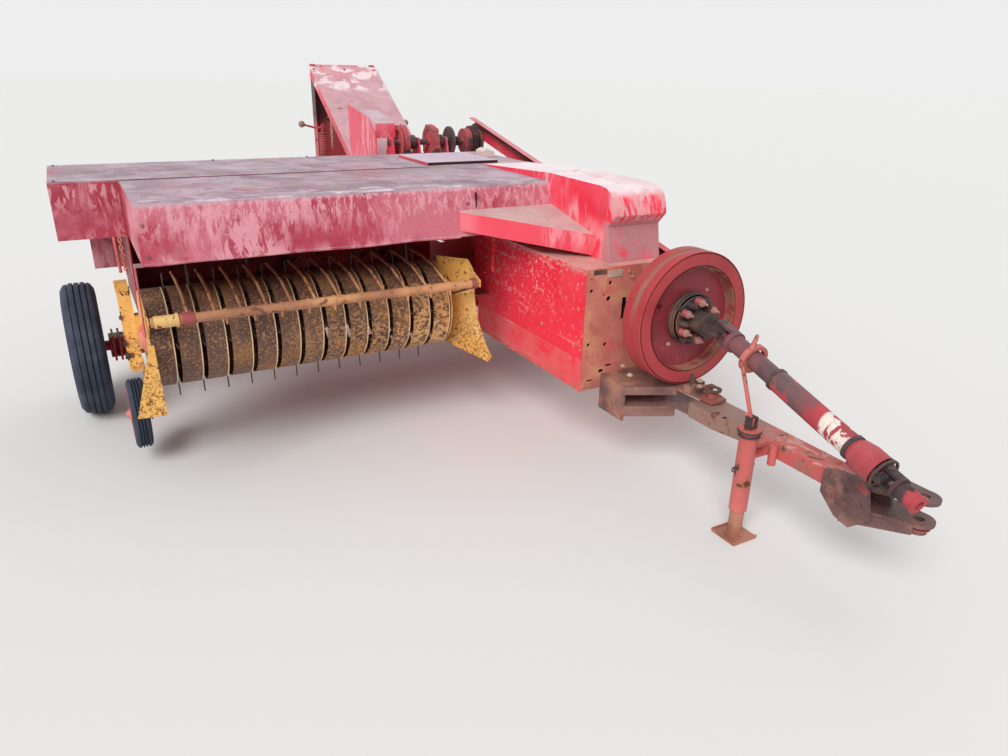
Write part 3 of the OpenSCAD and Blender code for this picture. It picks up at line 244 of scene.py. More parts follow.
def startMaterial(name):
    material = bpy.data.materials.new(name)
    material.use_nodes = True
    tree = material.node_tree
    coords = addNode(tree, "ShaderNodeTexCoord")
    shader = tree.nodes["Principled BSDF"]
    shader.inputs["Specular IOR Level"].default_value = 0.28
    return material, tree, shader, coords


def addBump(tree, shader, height, strength, distance):
    bump = addNode(tree, "ShaderNodeBump", Strength=strength, Distance=distance)
    tree.links.new(height, bump.inputs["Height"])
    tree.links.new(bump.outputs["Normal"], shader.inputs["Normal"])


# Weathered paint: a base that fades, pale tops of dust with painted sky reflection, runs down the sides, dirt, chips
# with rust, and scratches
paintDefaults = {"slot": "red_paint", "base": (0.42, 0.03, 0.045), "deep": (0.25, 0.015, 0.025),
    "faded": (0.55, 0.16, 0.19), "fade": (0.46, 0.72), "fadeAmount": 0.6, "top": (0.33, 0.24, 0.27),
    "topDark": (0.16, 0.1, 0.12), "topAmount": 0.0, "run": (0.62, 0.42, 0.44), "runCut": (0.56, 0.66),
    "runAmount": 0.0, "runScale": 16, "rust": (0.12, 0.04, 0.02), "rustEdge": (0.3, 0.1, 0.03),
    "rustCut": (0.6, 0.64), "rustScale": 9, "dirt": (0.13, 0.08, 0.06), "dirtCut": (0.55, 0.75), "dirtAmount": 0.35,
    "scratch": (0.6, 0.4, 0.4), "scratchAmount": 0.0, "speckle": 0.25, "roughness": (0.42, 0.75), "bump": 0.12,
    "overlays": (), "ripple": 0.6}


def weatheredPaint(name, **changes):
    look = {**paintDefaults, **changes}
    material, tree, shader, coords = startMaterial(name)
    place = coords.outputs["Object"]
    mask, blend = partial(noiseMask, tree, place), partial(blendColor, tree)
    color = blend(mask(2.2, 0.35, 0.7), look["base"], look["deep"])
    fadeMask = mask(3.1, *look["fade"], detail=6, shift=3, amount=look["fadeAmount"])
    color = blend(fadeMask, color, look["faded"])
    if look["runAmount"]:
        runs = mask(look["runScale"], *look["runCut"], detail=3, stretch=(1, 1, 0.13), shift=5, twist=0.6)
        patches = mask(2.4, 0.42, 0.6, detail=3, shift=8, amount=look["runAmount"])
        color = blend(multiply(tree, runs, patches), color, look["run"])
        ripples = mask(34, 0.5, 0.62, detail=2, stretch=(1, 1, 0.3), shift=2, twist=1.2)
        color = blend(multiply(tree, multiply(tree, ripples, patches), look["ripple"]), color, look["run"])
    dirtMask = mask(5.5, *look["dirtCut"], detail=8, shift=11, amount=look["dirtAmount"])
    color = blend(dirtMask, color, look["dirt"])
    # upward faces take the pale top colour: dust with painted sky reflection on it
    if look["topAmount"]:
        facing = addNode(tree, "ShaderNodeSeparateXYZ")
        tree.links.new(coords.outputs["Normal"], facing.inputs[0])
        upward = remap(tree, facing.outputs["Z"], 0.45, 0.85, 0, look["topAmount"])
        dustAndSkyTone = blend(mask(4.5, 0.35, 0.7, detail=9, shift=7, twist=0.8), look["top"], look["topDark"])
        dustAndSkyTone = blend(mask(1.6, 0.5, 0.72, detail=5, shift=9, amount=0.5), dustAndSkyTone, look["faded"])
        worn = mask(2.6, 0.24, 0.42, detail=7, shift=17)
        color = blend(multiply(tree, upward, worn), color, dustAndSkyTone)
    color = addOverlays(tree, place, color, look["overlays"])
    if look["scratchAmount"]:
        for shift, stretch in ((13, (0.6, 1.4, 9)), (19, (0.9, 0.5, 12))):
            lines = mask(3.5, 0.64, 0.67, detail=5, stretch=stretch, shift=shift, twist=0.5,
                amount=look["scratchAmount"])
            color = blend(lines, color, look["scratch"])
    grain = mask(160, 0.35, 0.75, detail=2, amount=look["speckle"])
    color = blend(grain, color, look["deep"])
    rustEdgeCut = (look["rustCut"][0] - 0.025, look["rustCut"][1] - 0.025)
    rustEdge = mask(look["rustScale"], *rustEdgeCut, detail=10, shift=23, twist=0.4)
    rustMask = mask(look["rustScale"], *look["rustCut"], detail=10, shift=23, twist=0.4)
    color = blend(rustEdge, color, look["rustEdge"])
    color = blend(rustMask, color, look["rust"])
    tree.links.new(color, shader.inputs["Base Color"])
    gloss = remap(tree, rustEdge, 0, 1, look["roughness"][0], look["roughness"][1])
    dull = addNode(tree, "ShaderNodeMath", {"operation": "MAXIMUM"})
    tree.links.new(gloss, dull.inputs[0])
    tree.links.new(remap(tree, fadeMask, 0, 1, look["roughness"][0], look["roughness"][1]), dull.inputs[1])
    tree.links.new(dull.outputs[0], shader.inputs["Roughness"])
    heightMix = addNode(tree, "ShaderNodeMath", {"operation": "ADD"})
    tree.links.new(multiply(tree, rustMask, -0.6), heightMix.inputs[0])
    tree.links.new(mask(220, 0.2, 0.8, detail=2, amount=0.4), heightMix.inputs[1])
    addBump(tree, shader, heightMix.outputs[0], look["bump"], 0.004)
    return material


# Bare or rusted metal: two tones, rust bloom, left-over paint and a worn shine
metalDefaults = {"slot": "rusted_steel", "base": (0.13, 0.07, 0.06), "second": (0.07, 0.04, 0.045),
    "bloom": (0.33, 0.13, 0.04), "bloomCut": (0.48, 0.66), "bloomAmount": 0.8, "bloomScale": 7,
    "paint": (0.4, 0.05, 0.05), "paintCut": (0.56, 0.6), "paintAmount": 0.0, "paintScale": 8, "metallic": 0.15,
    "roughness": (0.45, 0.85), "bump": 0.25, "overlays": ()}


def rustyMetal(name, **changes):
    look = {**metalDefaults, **changes}
    material, tree, shader, coords = startMaterial(name)
    place = coords.outputs["Object"]
    mask, blend = partial(noiseMask, tree, place), partial(blendColor, tree)
    color = blend(mask(6, 0.35, 0.68, detail=7), look["base"], look["second"])
    bloom = mask(look["bloomScale"], *look["bloomCut"], detail=9, shift=4, amount=look["bloomAmount"])
    color = blend(bloom, color, look["bloom"])
    if look["paintAmount"]:
        paint = mask(look["paintScale"], *look["paintCut"], detail=9, shift=6, amount=look["paintAmount"])
        color = blend(paint, color, look["paint"])
    color = addOverlays(tree, place, color, look["overlays"])
    color = blend(mask(180, 0.35, 0.8, detail=2, amount=0.4), color, look["second"])
    tree.links.new(color, shader.inputs["Base Color"])
    shader.inputs["Metallic"].default_value = look["metallic"]
    tree.links.new(remap(tree, bloom, 0, 0.7, *look["roughness"]), shader.inputs["Roughness"])
    addBump(tree, shader, mask(150, 0.2, 0.8, detail=4), look["bump"], 0.003)
    return material


plain = (1, 1, 1)
redHood = weatheredPaint("redHood", base=(0.48, 0.06, 0.1), deep=(0.37, 0.035, 0.065), faded=(0.64, 0.2, 0.26),
    fade=(0.46, 0.6), fadeAmount=0.8, run=(0.74, 0.32, 0.38), runAmount=1.0, runScale=32, runCut=(0.51, 0.54),
    top=(0.52, 0.42, 0.49), topDark=(0.27, 0.2, 0.25), topAmount=1.0, rustCut=(0.7, 0.74), dirtAmount=0.3,
    slot="faded_paint", ripple=0.8, overlays=[
    ((0.76, 0.36, 0.4), 0.85, 40, (0.51, 0.55), (1.2, 1, 0.35), [("Z", 1000, 1140), ("Z", 1170, 1163)]),
    ((0.76, 0.38, 0.38), 0.55, 9, (0.48, 0.6), (1, 1, 0.8), [("Z", 1000, 950)]),
    # near-white lavender on the front of the hood top: painted sky reflection
    ((0.8, 0.72, 0.8), 0.8, 9, (0.52, 0.6), (0.5, 2, 1), [("Z", 1168, 1173), ("Y", -150, -300)]),
    ((0.24, 0.18, 0.22), 0.6, 5, (0.46, 0.66), plain, [("Z", 1168, 1173)]),
    ((0.34, 0.25, 0.22), 0.5, 16, (0.5, 0.62), (1, 0.4, 1), [("Z", 1168, 1173)]),
])
redShield = weatheredPaint("redShield", base=(0.93, 0.045, 0.09), deep=(0.84, 0.03, 0.065), faded=(0.85, 0.2, 0.26),
    fadeAmount=0.45, run=(0.9, 0.45, 0.5), runAmount=0.75, runScale=13, runCut=(0.54, 0.6), top=(0.93, 0.88, 0.9),
    topDark=(0.78, 0.64, 0.66), topAmount=1.0, rustCut=(0.68, 0.72), dirtAmount=0.15, overlays=[
    ((0.93, 0.4, 0.42), 0.6, 12, (0.35, 0.6), plain, [("Z", 1090, 1000)]),
    ((0.5, 0.27, 0.29), 0.9, 14, (0.25, 0.5), plain, [("Y", -780, -812), ("Z", 1075, 1050)]),
    ((0.74, 0.46, 0.46), 0.75, 17, (0.46, 0.52), (1.6, 1, 0.3), [("Y", -800, -840), ("Z", 1050, 1080)]),
])
redShelf = weatheredPaint("redShelf", base=(0.82, 0.08, 0.12), deep=(0.7, 0.05, 0.085), faded=(0.86, 0.28, 0.33),
    fadeAmount=0.6, run=(0.9, 0.42, 0.45), runAmount=0.8, runScale=24, runCut=(0.45, 0.53), top=(0.64, 0.48, 0.46),
    topDark=(0.48, 0.36, 0.34), topAmount=1.0, rustCut=(0.68, 0.72), dirtAmount=0.15)
redBox = weatheredPaint("redBox", base=(0.95, 0.04, 0.075), deep=(0.88, 0.026, 0.055), faded=(0.93, 0.12, 0.15),
    fadeAmount=0.4, scratchAmount=0.4, scratch=(0.94, 0.4, 0.42), dirtAmount=0.12, dirt=(0.5, 0.1, 0.09),
    rustCut=(0.7, 0.73), top=(0.72, 0.45, 0.4), topDark=(0.5, 0.25, 0.2), topAmount=0.9, speckle=0.15, overlays=[
    ((0.95, 0.5, 0.52), 0.8, 75, (0.58, 0.62), (1, 1, 0.7), [("Z", 560, 720), ("Y", -820, -500)]),
    ((0.94, 0.42, 0.42), 0.5, 44, (0.6, 0.64), plain, [("Z", 400, 600)]),
    ((0.82, 0.15, 0.15), 0.75, 8, (0.3, 0.55), plain, [("Z", 500, 490)]),
    ((0.5, 0.14, 0.09), 0.9, 26, (0.42, 0.56), plain, [("Z", 400, 350)]),
    ((0.62, 0.36, 0.32), 0.85, 30, (0.44, 0.52), (1, 1, 2), [("Z", 855, 890)]),
])
redFrame = weatheredPaint("redFrame", base=(0.46, 0.045, 0.055), deep=(0.3, 0.03, 0.04), faded=(0.55, 0.16, 0.16),
    dirtAmount=0.5, dirt=(0.2, 0.11, 0.09), rustCut=(0.58, 0.62), rustScale=12, top=(0.4, 0.24, 0.22),
    topDark=(0.26, 0.15, 0.13), topAmount=0.7)
redGuard = weatheredPaint("redGuard", base=(0.8, 0.085, 0.14), deep=(0.68, 0.05, 0.09), faded=(0.85, 0.24, 0.3),
    run=(0.86, 0.36, 0.42), runAmount=0.8, runScale=22, runCut=(0.5, 0.6), top=(0.6, 0.5, 0.55),
    topDark=(0.45, 0.33, 0.36), topAmount=1.0, rustCut=(0.7, 0.74), dirtAmount=0.15)
redChain = weatheredPaint("redChain", base=(0.72, 0.05, 0.08), deep=(0.58, 0.035, 0.055), faded=(0.78, 0.2, 0.25),
    top=(0.66, 0.42, 0.45), topDark=(0.5, 0.28, 0.3), topAmount=0.6, rustCut=(0.66, 0.7), dirtAmount=0.25)
redWorn = weatheredPaint("redWorn", base=(0.42, 0.13, 0.11), deep=(0.27, 0.12, 0.1), faded=(0.55, 0.26, 0.23),
    fadeAmount=0.8, dirt=(0.24, 0.15, 0.12), dirtAmount=0.75, rustCut=(0.58, 0.63), rustScale=14,
    rust=(0.16, 0.07, 0.05), rustEdge=(0.36, 0.16, 0.1), overlays=[
    ((0.29, 0.19, 0.15), 0.9, 10, (0.3, 0.5), plain, [("Y", -1680, -1560)]),
    ((0.62, 0.1, 0.1), 0.8, 8, (0.42, 0.5), plain, [("Y", -1650, -1800)]),
    ((0.75, 0.48, 0.4), 0.7, 24, (0.52, 0.6), (1, 0.4, 1), [("Y", -1650, -1800), ("Z", 385, 395)]),
])
jackPaint = weatheredPaint("jackPaint", base=(0.6, 0.13, 0.12), deep=(0.42, 0.09, 0.08), faded=(0.72, 0.26, 0.22),
    fadeAmount=0.6, dirt=(0.3, 0.14, 0.1), dirtAmount=0.4, rustCut=(0.6, 0.64), rustScale=16,
    rustEdge=(0.45, 0.18, 0.1))
pinkChute = weatheredPaint("pinkChute", base=(0.74, 0.1, 0.14), deep=(0.6, 0.06, 0.09), faded=(0.78, 0.26, 0.3),
    fadeAmount=0.5, topAmount=1.0, top=(0.62, 0.4, 0.43), topDark=(0.48, 0.28, 0.31), dirtAmount=0.2,
    rustCut=(0.66, 0.7), overlays=[
    # near-white on the upper chute panel: painted sky reflection
    ((0.86, 0.74, 0.76), 0.9, 7, (0.5, 0.56), (1, 1, 2), [("Z", 1460, 1500)]),
    ((0.7, 0.16, 0.2), 0.6, 9, (0.56, 0.64), (2, 1, 1), [("Z", 1400, 1560)]),
])
# red paint; its grey tops are dust with painted sky reflection
paleTopCover = weatheredPaint("paleTopCover", base=(0.72, 0.1, 0.13), deep=(0.6, 0.07, 0.1), faded=(0.75, 0.3, 0.33),
    topAmount=1.0, top=(0.63, 0.54, 0.64), topDark=(0.52, 0.43, 0.53), rustCut=(0.72, 0.75), dirtAmount=0.1,
    slot="faded_paint")
shaftEnd = [
    ((0.05, 0.035, 0.04), 0.92, 8, (0.2, 0.4), plain, [("Y", -2158, -2166), ("Y", -2270, -2255)]),
    ((0.5, 0.06, 0.07), 0.9, 8, (0.25, 0.5), plain, [("Y", -2255, -2270)]),
]
purpleShaft = weatheredPaint("purpleShaft", base=(0.16, 0.095, 0.1), deep=(0.09, 0.055, 0.06), faded=(0.3, 0.1, 0.11),
    fade=(0.48, 0.6), fadeAmount=0.7, dirtAmount=0.4, rustCut=(0.66, 0.7), overlays=[
    ((0.6, 0.06, 0.08), 0.9, 9, (0.54, 0.57), plain, [("Y", -1620, -1700)]),
    ((0.44, 0.055, 0.065), 0.85, 6, (0.4, 0.5), plain, [("Y", -1780, -1880)]),
    ((0.86, 0.74, 0.66), 1.0, 17, (0.42, 0.45), plain, [("Y", -1905, -1915), ("Y", -2035, -2020), ("Z", 400, 500)]),
] + shaftEnd)
bellPaint = weatheredPaint("bellPaint", base=(0.48, 0.055, 0.065), deep=(0.32, 0.04, 0.05), faded=(0.56, 0.13, 0.14),
    dirtAmount=0.5, rustCut=(0.62, 0.66), overlays=shaftEnd)
# the chute frame is the chute paint darkened as painted shade, with a near-black band from about 1200 to 1640 mm up
# that is painted shadow inside the folded chute
chutePaintedShade = weatheredPaint("chutePaintedShade", base=(0.5, 0.09, 0.1), deep=(0.36, 0.06, 0.07), faded=(0.6, 0.2, 0.2),
    dirtAmount=0.5, rustCut=(0.66, 0.7), overlays=[
    ((0.05, 0.035, 0.04), 0.95, 5, (0.2, 0.4), plain, [("Z", 1200, 1280), ("Z", 1640, 1600)])])
flywheelRed = weatheredPaint("flywheelRed", base=(0.44, 0.05, 0.055), deep=(0.3, 0.032, 0.04),
    faded=(0.52, 0.09, 0.1), dirt=(0.26, 0.1, 0.07), dirtAmount=0.4, fadeAmount=0.5, rustCut=(0.7, 0.74), overlays=[
    ((0.52, 0.38, 0.2), 0.85, 9, (0.36, 0.52), plain, [("R", 211, 217), ("R", 231, 227), ("X", -90, -20)]),
    ((0.3, 0.2, 0.14), 0.7, 7, (0.4, 0.52), plain, [("R", 268, 273), ("Y", -1138, -1132), ("Y", -1104, -1110),
     ("Z", 680, 820)]),
    ((0.12, 0.06, 0.055), 0.85, 20, (0.35, 0.55), plain, [("R", 140, 100)]),
    # darker red inside 240 mm of the axis: painted shade on the recessed disc
    ((0.22, 0.03, 0.045), 0.85, 10, (0.3, 0.5), plain, [("R", 240, 210)]),
])
orangePaint = weatheredPaint("orangePaint", base=(0.86, 0.48, 0.13), deep=(0.7, 0.34, 0.08), faded=(0.93, 0.62, 0.26),
    rust=(0.16, 0.06, 0.025), rustEdge=(0.55, 0.23, 0.06), rustCut=(0.61, 0.64), rustScale=52, dirt=(0.6, 0.28, 0.08),
    dirtAmount=0.5, slot="orange_paint", overlays=[
    ((0.12, 0.045, 0.02), 0.85, 95, (0.52, 0.56), plain, [("Z", 660, 450)]),
    ((0.35, 0.14, 0.05), 0.6, 14, (0.5, 0.62), plain, [("Z", 600, 400)]),
])
guardPaint = weatheredPaint("guardPaint", base=(0.55, 0.27, 0.13), deep=(0.34, 0.15, 0.09), faded=(0.85, 0.45, 0.2),
    fade=(0.4, 0.6), rust=(0.2, 0.09, 0.06), rustEdge=(0.5, 0.2, 0.08), rustCut=(0.56, 0.6), rustScale=18,
    dirtAmount=0.5, dirt=(0.3, 0.13, 0.07), slot="orange_paint")
rustPlate = rustyMetal("rustPlate", base=(0.7, 0.25, 0.19), second=(0.52, 0.15, 0.12), bloom=(0.72, 0.34, 0.18),
    bloomScale=9, paint=(0.72, 0.14, 0.12), paintAmount=0.7, paintCut=(0.54, 0.6), metallic=0, overlays=[
    ((0.4, 0.15, 0.13), 0.8, 12, (0.35, 0.6), plain, [("Z", 420, 360)]),
    ((0.28, 0.11, 0.09), 0.6, 70, (0.62, 0.66), plain, []),
])
paleRust = rustyMetal("paleRust", base=(0.5, 0.26, 0.23), second=(0.3, 0.12, 0.11), bloom=(0.7, 0.46, 0.36),
    metallic=0)
footRust = rustyMetal("footRust", base=(0.48, 0.2, 0.13), second=(0.3, 0.12, 0.08), bloom=(0.6, 0.3, 0.17),
    metallic=0)
bracketSteel = rustyMetal("bracketSteel", base=(0.27, 0.14, 0.12), second=(0.13, 0.065, 0.055),
    bloom=(0.5, 0.24, 0.16), paint=(0.48, 0.11, 0.09), paintAmount=0.6, metallic=0)
hitchSteel = rustyMetal("hitchSteel", base=(0.2, 0.105, 0.095), second=(0.1, 0.05, 0.048), bloom=(0.36, 0.18, 0.14),
    paint=(0.42, 0.08, 0.075), paintAmount=0.6, paintCut=(0.6, 0.64), metallic=0)
bandSteel = rustyMetal("bandSteel", base=(0.15, 0.085, 0.065), second=(0.075, 0.045, 0.04), bloom=(0.34, 0.17, 0.08),
    bloomScale=5, metallic=0.15, roughness=(0.36, 0.8), overlays=[
    ((0.72, 0.34, 0.13), 0.55, 120, (0.53, 0.6), plain, []),
    ((0.78, 0.4, 0.15), 0.9, 75, (0.5, 0.56), plain, [("X", -1750, -900), ("Z", 820, 500)]),
    ((0.85, 0.5, 0.2), 0.9, 40, (0.48, 0.54), plain, [("X", -960, -860), ("Z", 850, 550)]),
    ((0.95, 0.66, 0.36), 1.0, 8, (0.2, 0.3), plain, [("B", 0.765, 0.785)]),
])
darkIron = rustyMetal("darkIron", base=(0.1, 0.07, 0.065), second=(0.05, 0.038, 0.04), bloom=(0.26, 0.12, 0.08),
    bloomCut=(0.5, 0.68), slot="dark_iron", metallic=0.2)
knotterIron = rustyMetal("knotterIron", base=(0.13, 0.09, 0.085), second=(0.06, 0.045, 0.045), bloom=(0.3, 0.15, 0.1),
    slot="dark_iron", metallic=0.1, overlays=[
    ((0.55, 0.09, 0.11), 0.95, 12, (0.3, 0.45), plain, limitedTo("X", -275, -225)),
    ((0.6, 0.1, 0.12), 0.95, 12, (0.3, 0.45), plain, limitedTo("X", -70, -20)),
    ((0.5, 0.09, 0.11), 0.9, 14, (0.35, 0.5), plain, limitedTo("X", 178, 236)),
])
wornSteel = rustyMetal("wornSteel", base=(0.36, 0.3, 0.27), second=(0.22, 0.17, 0.15), bloom=(0.36, 0.18, 0.1),
    slot="worn_steel", metallic=0.4)
paleSteel = rustyMetal("paleSteel", base=(0.68, 0.56, 0.46), second=(0.45, 0.32, 0.24), bloom=(0.5, 0.25, 0.14),
    slot="worn_steel", metallic=0.2)
redIron = rustyMetal("redIron", base=(0.5, 0.1, 0.11), second=(0.3, 0.07, 0.07), bloom=(0.4, 0.2, 0.15),
    bloomAmount=0.5, paint=(0.66, 0.12, 0.13), paintAmount=0.7, slot="red_paint", metallic=0)
yellowPaint = weatheredPaint("yellowPaint", base=(0.8, 0.52, 0.2), deep=(0.55, 0.3, 0.12), faded=(0.85, 0.62, 0.3),
    rustCut=(0.6, 0.64), rustScale=30, dirt=(0.4, 0.2, 0.1), dirtAmount=0.6, slot="orange_paint")
creamPaint = weatheredPaint("creamPaint", base=(0.78, 0.6, 0.55), deep=(0.6, 0.4, 0.36), faded=(0.82, 0.7, 0.66),
    rustCut=(0.64, 0.68), rustScale=30, dirtAmount=0.5, slot="faded_paint")
# near-black for painted shade inside seams, gaps, holes and slots
gapShadePaint = rustyMetal("gapShadePaint", base=(0.03, 0.015, 0.018), second=(0.015, 0.01, 0.012), bloom=(0.08, 0.03, 0.025),
    slot="dark_iron", metallic=0, bump=0.1)


def tyreMaterial(name, base, dust):
    material, tree, shader, coords = startMaterial(name)
    place = coords.outputs["Object"]
    mask, blend = partial(noiseMask, tree, place), partial(blendColor, tree)
    color = blend(mask(7, 0.4, 0.75, detail=7), base, dust)
    color = blend(mask(90, 0.5, 0.8, detail=3, amount=0.4), color, dust)
    tree.links.new(color, shader.inputs["Base Color"])
    shader.inputs["Roughness"].default_value = 0.72
    addBump(tree, shader, mask(240, 0.2, 0.8, detail=3), 0.2, 0.002)
    return material


blackRubber = tyreMaterial("blackRubber", (0.03, 0.04, 0.062), (0.075, 0.09, 0.13))
print("materials made")


# Shared shapes

def addRod(shape, start, end, radius, endRadius=None, segments=16):
    start, end = at(*start), at(*end)
    place = Matrix.Translation((start + end) / 2) @ aim(end - start)
    bmesh.ops.create_cone(shape, cap_ends=True, segments=segments, radius1=radius / 1000,
                          radius2=(radius if endRadius is None else endRadius) / 1000,
                          depth=(end - start).length, matrix=place)


def addBlock(shape, low, high):
    low, high = at(*low), at(*high)
    place = Matrix.Translation((low + high) / 2) @ Matrix.Diagonal((*(high - low), 1))
    bmesh.ops.create_cube(shape, size=1, matrix=place)


def addBall(shape, place, radius, segments=16):
    bmesh.ops.create_uvsphere(shape, u_segments=segments, v_segments=segments // 2, radius=radius / 1000,
                              matrix=Matrix.Translation(at(*place)))


def addBolt(shape, place, direction, radius, height=None):
    height = height or radius * 0.75
    along = Vector(direction).normalized()
    base = Vector(place)
    addRod(shape, base - along, base + along * 2, radius * 1.5)
    addRod(shape, base, base + along * (height + 2), radius, radius * 0.94, segments=6)


def spinProfile(shape, profile, centre, direction, steps):
    # profile is a list of (distance from the axis, distance along it) in millimetres
    place = Matrix.Translation(at(*centre)) @ aim(direction)
    points = [shape.verts.new(place @ Vector((r / 1000, 0, along / 1000))) for r, along in profile]
    edges = [shape.edges.new(pair) for pair in zip(points, points[1:])]
    bmesh.ops.spin(shape, geom=points + edges, cent=place.translation, axis=place.to_3x3() @ Vector((0, 0, 1)),
                   angle=math.tau, steps=steps, use_merge=True)


def sweep(shape, path, radius, segments):
    # a round bar that bends along the path
    points = [at(*p) for p in path]
    rings = []
    for index, point in enumerate(points):
        before = points[max(index - 1, 0)]
        after = points[min(index + 1, len(points) - 1)]
        place = Matrix.Translation(point) @ aim(after - before)
        ring = bmesh.ops.create_circle(shape, segments=segments, radius=radius / 1000, matrix=place,
                                       cap_ends=index in (0, len(points) - 1))["verts"]
        rings.append(ring)
    for first, second in zip(rings, rings[1:]):
        loops = [e for ring in (first, second) for e in {edge for v in ring for edge in v.link_edges
                 if all(w in ring for w in edge.verts)}]
        bmesh.ops.bridge_loops(shape, edges=loops)
    bmesh.ops.recalc_face_normals(shape, faces=shape.faces)


edgeLook = {"smoothAngle": 38, "bevelAngle": 40, "segments": 2}


def finishPiece(name, shape, material, body, edge):
    bmesh.ops.remove_doubles(shape, verts=shape.verts, dist=1e-6)
    bmesh.ops.recalc_face_normals(shape, faces=shape.faces)
    mesh = bpy.data.meshes.new(name)
    shape.to_mesh(mesh)
    shape.free()
    mesh.polygons.foreach_set("use_smooth", [True] * len(mesh.polygons))
    mesh.set_sharp_from_angle(angle=math.radians(edgeLook["smoothAngle"]))
    piece = addObject(name, mesh)
    mesh.materials.append(material)
    if edge:
        bevel = piece.modifiers.new("roundEdge", "BEVEL")
        bevel.width = edge / 1000
        bevel.segments = edgeLook["segments"]
        bevel.limit_method = "ANGLE"
        bevel.angle_limit = math.radians(edgeLook["bevelAngle"])
        bevel.harden_normals = True
    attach(piece, body)
    return piece


def copyOfNode(nodeName):
    # the solid's own mesh, merged, with its flat faces joined up again
    shape = bmesh.new()
    shape.from_mesh(frame["nodes"][nodeName].data)
    bmesh.ops.remove_doubles(shape, verts=shape.verts, dist=2e-5)
    bmesh.ops.dissolve_limit(shape, angle_limit=math.radians(0.5), verts=shape.verts, edges=shape.edges)
    return shape


nodeLooks = {  # node: (piece, material, edge rounding in mm)
    "front_plate": ("punchedFrontPlate", rustPlate, 2), "front_box": ("sidePanels", redBox, 3),
    "bale_chamber": ("chamberCase", redBox, 2), "bale_tension": ("tensionBars", redIron, 2),
    "gearbox": ("gearboxCase", darkIron, 4), "plunger": ("plungerHead", wornSteel, 2),
    "drive_shield": ("shieldSheet", redShield, 6), "step_shelf": ("stepSheet", redShelf, 3),
    "feeder_hood": ("hoodSheet", redHood, 1.5), "feeder_cover": ("coverPlate", paleTopCover, 4),
    "feeder_platform": ("feederFloor", redFrame, 1.5), "feeder_bar": ("feederFingers", wornSteel, 1.5),
    "main_axle": ("axleBeam", redFrame, 2), "needle_yoke": ("needleArms", redFrame, 2),
    "knotter_frame": ("knotterStand", redGuard, 1.5), "knotter_shaft": ("knotterDiscs", knotterIron, 1.5),
    "chain_guard": ("chainCover", redChain, 1.2), "drive_chain": ("chainLoop", darkIron, 1),
    "twine_box": ("twineCase", redFrame, 1.2), "twine_lid": ("twineCover", redHood, 1.2),
    "tongue_bracket": ("tonguePlates", bracketSteel, 2),
    "right_rim": ("rightWheelDisc", redFrame, 2), "right_tyre": ("rightTyre", blackRubber, 3),
    "left_rim": ("leftWheelDisc", redFrame, 2), "left_tyre": ("leftTyre", blackRubber, 3),
    "pickup_frame": ("pickupEnds", orangePaint, 1.5), "pickup_bands": ("stripperBands", bandSteel, 0.8),
    "crop_dividers": ("dividerSheets", orangePaint, 1.2), "gauge_arm": ("gaugeArm", orangePaint, 2),
    "gauge_rim": ("gaugeWheelDisc", wornSteel, 2), "gauge_tyre": ("gaugeTyre", blackRubber, 3),
    "wind_guard": ("guardPipe", guardPaint, 1.5), "pickup_reel": ("tineReel", darkIron, 0.6),
    "flywheel": ("flywheelCasting", flywheelRed, 4), "slip_clutch": ("clutchDiscs", darkIron, 2),
    "shaft_tube": ("shaftTube", purpleShaft, 2), "shaft_bell": ("shaftBell", bellPaint, 2),
    "tongue": ("tongueTube", redWorn, 4), "hitch": ("hitchPlates", hitchSteel, 2),
    "jack_tube": ("jackTube", jackPaint, 2), "jack_leg": ("jackLeg", footRust, 2),
    "shaft_cradle": ("shaftHook", jackPaint, 1.5), "chute_base": ("chuteFrame", chutePaintedShade, 1.5),
    "chute_extension": ("chutePanel", pinkChute, 1.2),
}

for nodeName, (pieceName, material, edge) in nodeLooks.items():
    piece = finishPiece(pieceName, copyOfNode(nodeName), material, frame["nodes"][nodeName]["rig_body"], edge)
    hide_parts(nodeName)
print("solids dressed")


# Small parts that the solids leave out

def addPrism(shape, outline, axis, start, depth):
    # an outline in the plane across X or Y, given a thickness along that axis
    corners = []
    for u, v in outline:
        place = {"X": (start, u, v), "Y": (u, start, v)}[axis]
        corners.append(shape.verts.new(at(*place)))
    face = shape.faces.new(corners)
    push = {"X": (depth, 0, 0), "Y": (0, depth, 0)}[axis]
    moved = bmesh.ops.extrude_face_region(shape, geom=[face])
    bmesh.ops.translate(shape, vec=Vector(push) / 1000,
                        verts=[v for v in moved["geom"] if isinstance(v, bmesh.types.BMVert)])


def addRing(shape, centre, direction, inner, outer, width, steps=32):
    spinProfile(shape, [(inner, -width / 2), (outer, -width / 2), (outer, width / 2), (inner, width / 2),
                        (inner, -width / 2)], centre, direction, steps)


def coilPath(start, end, radius, turns, perTurn=14):
    start, end = Vector(start), Vector(end)
    turnBy = (end - start).to_track_quat("Z", "Y")
    path = []
    for index in range(round(turns * perTurn) + 1):
        angle = math.tau * index / perTurn
        side = turnBy @ Vector((math.cos(angle) * radius, math.sin(angle) * radius, 0))
        path.append(tuple(start.lerp(end, index / (turns * perTurn)) + side))
    return path


def addChain(shape, path, link=26, wire=2.6):
    # links hung along a path, every second one turned
    points = [Vector(p) for p in path]
    count = 0
    for first, second in zip(points, points[1:]):
        steps = max(1, round((second - first).length / (link * 0.72)))
        for index in range(steps):
            middle = first.lerp(second, (index + 0.5) / steps)
            quarter = Euler((0, 0, math.pi / 2 * (count % 2))).to_quaternion()
            turnBy = (second - first).to_track_quat("Z", "Y") @ quarter
            oval = []
            for step in range(13):
                angle = math.tau * step / 12
                oval.append(tuple(middle + turnBy @ Vector((math.cos(angle) * link * 0.25, 0,
                                                           math.sin(angle) * link * 0.5))))
            sweep(shape, oval, wire, 5)
            count += 1


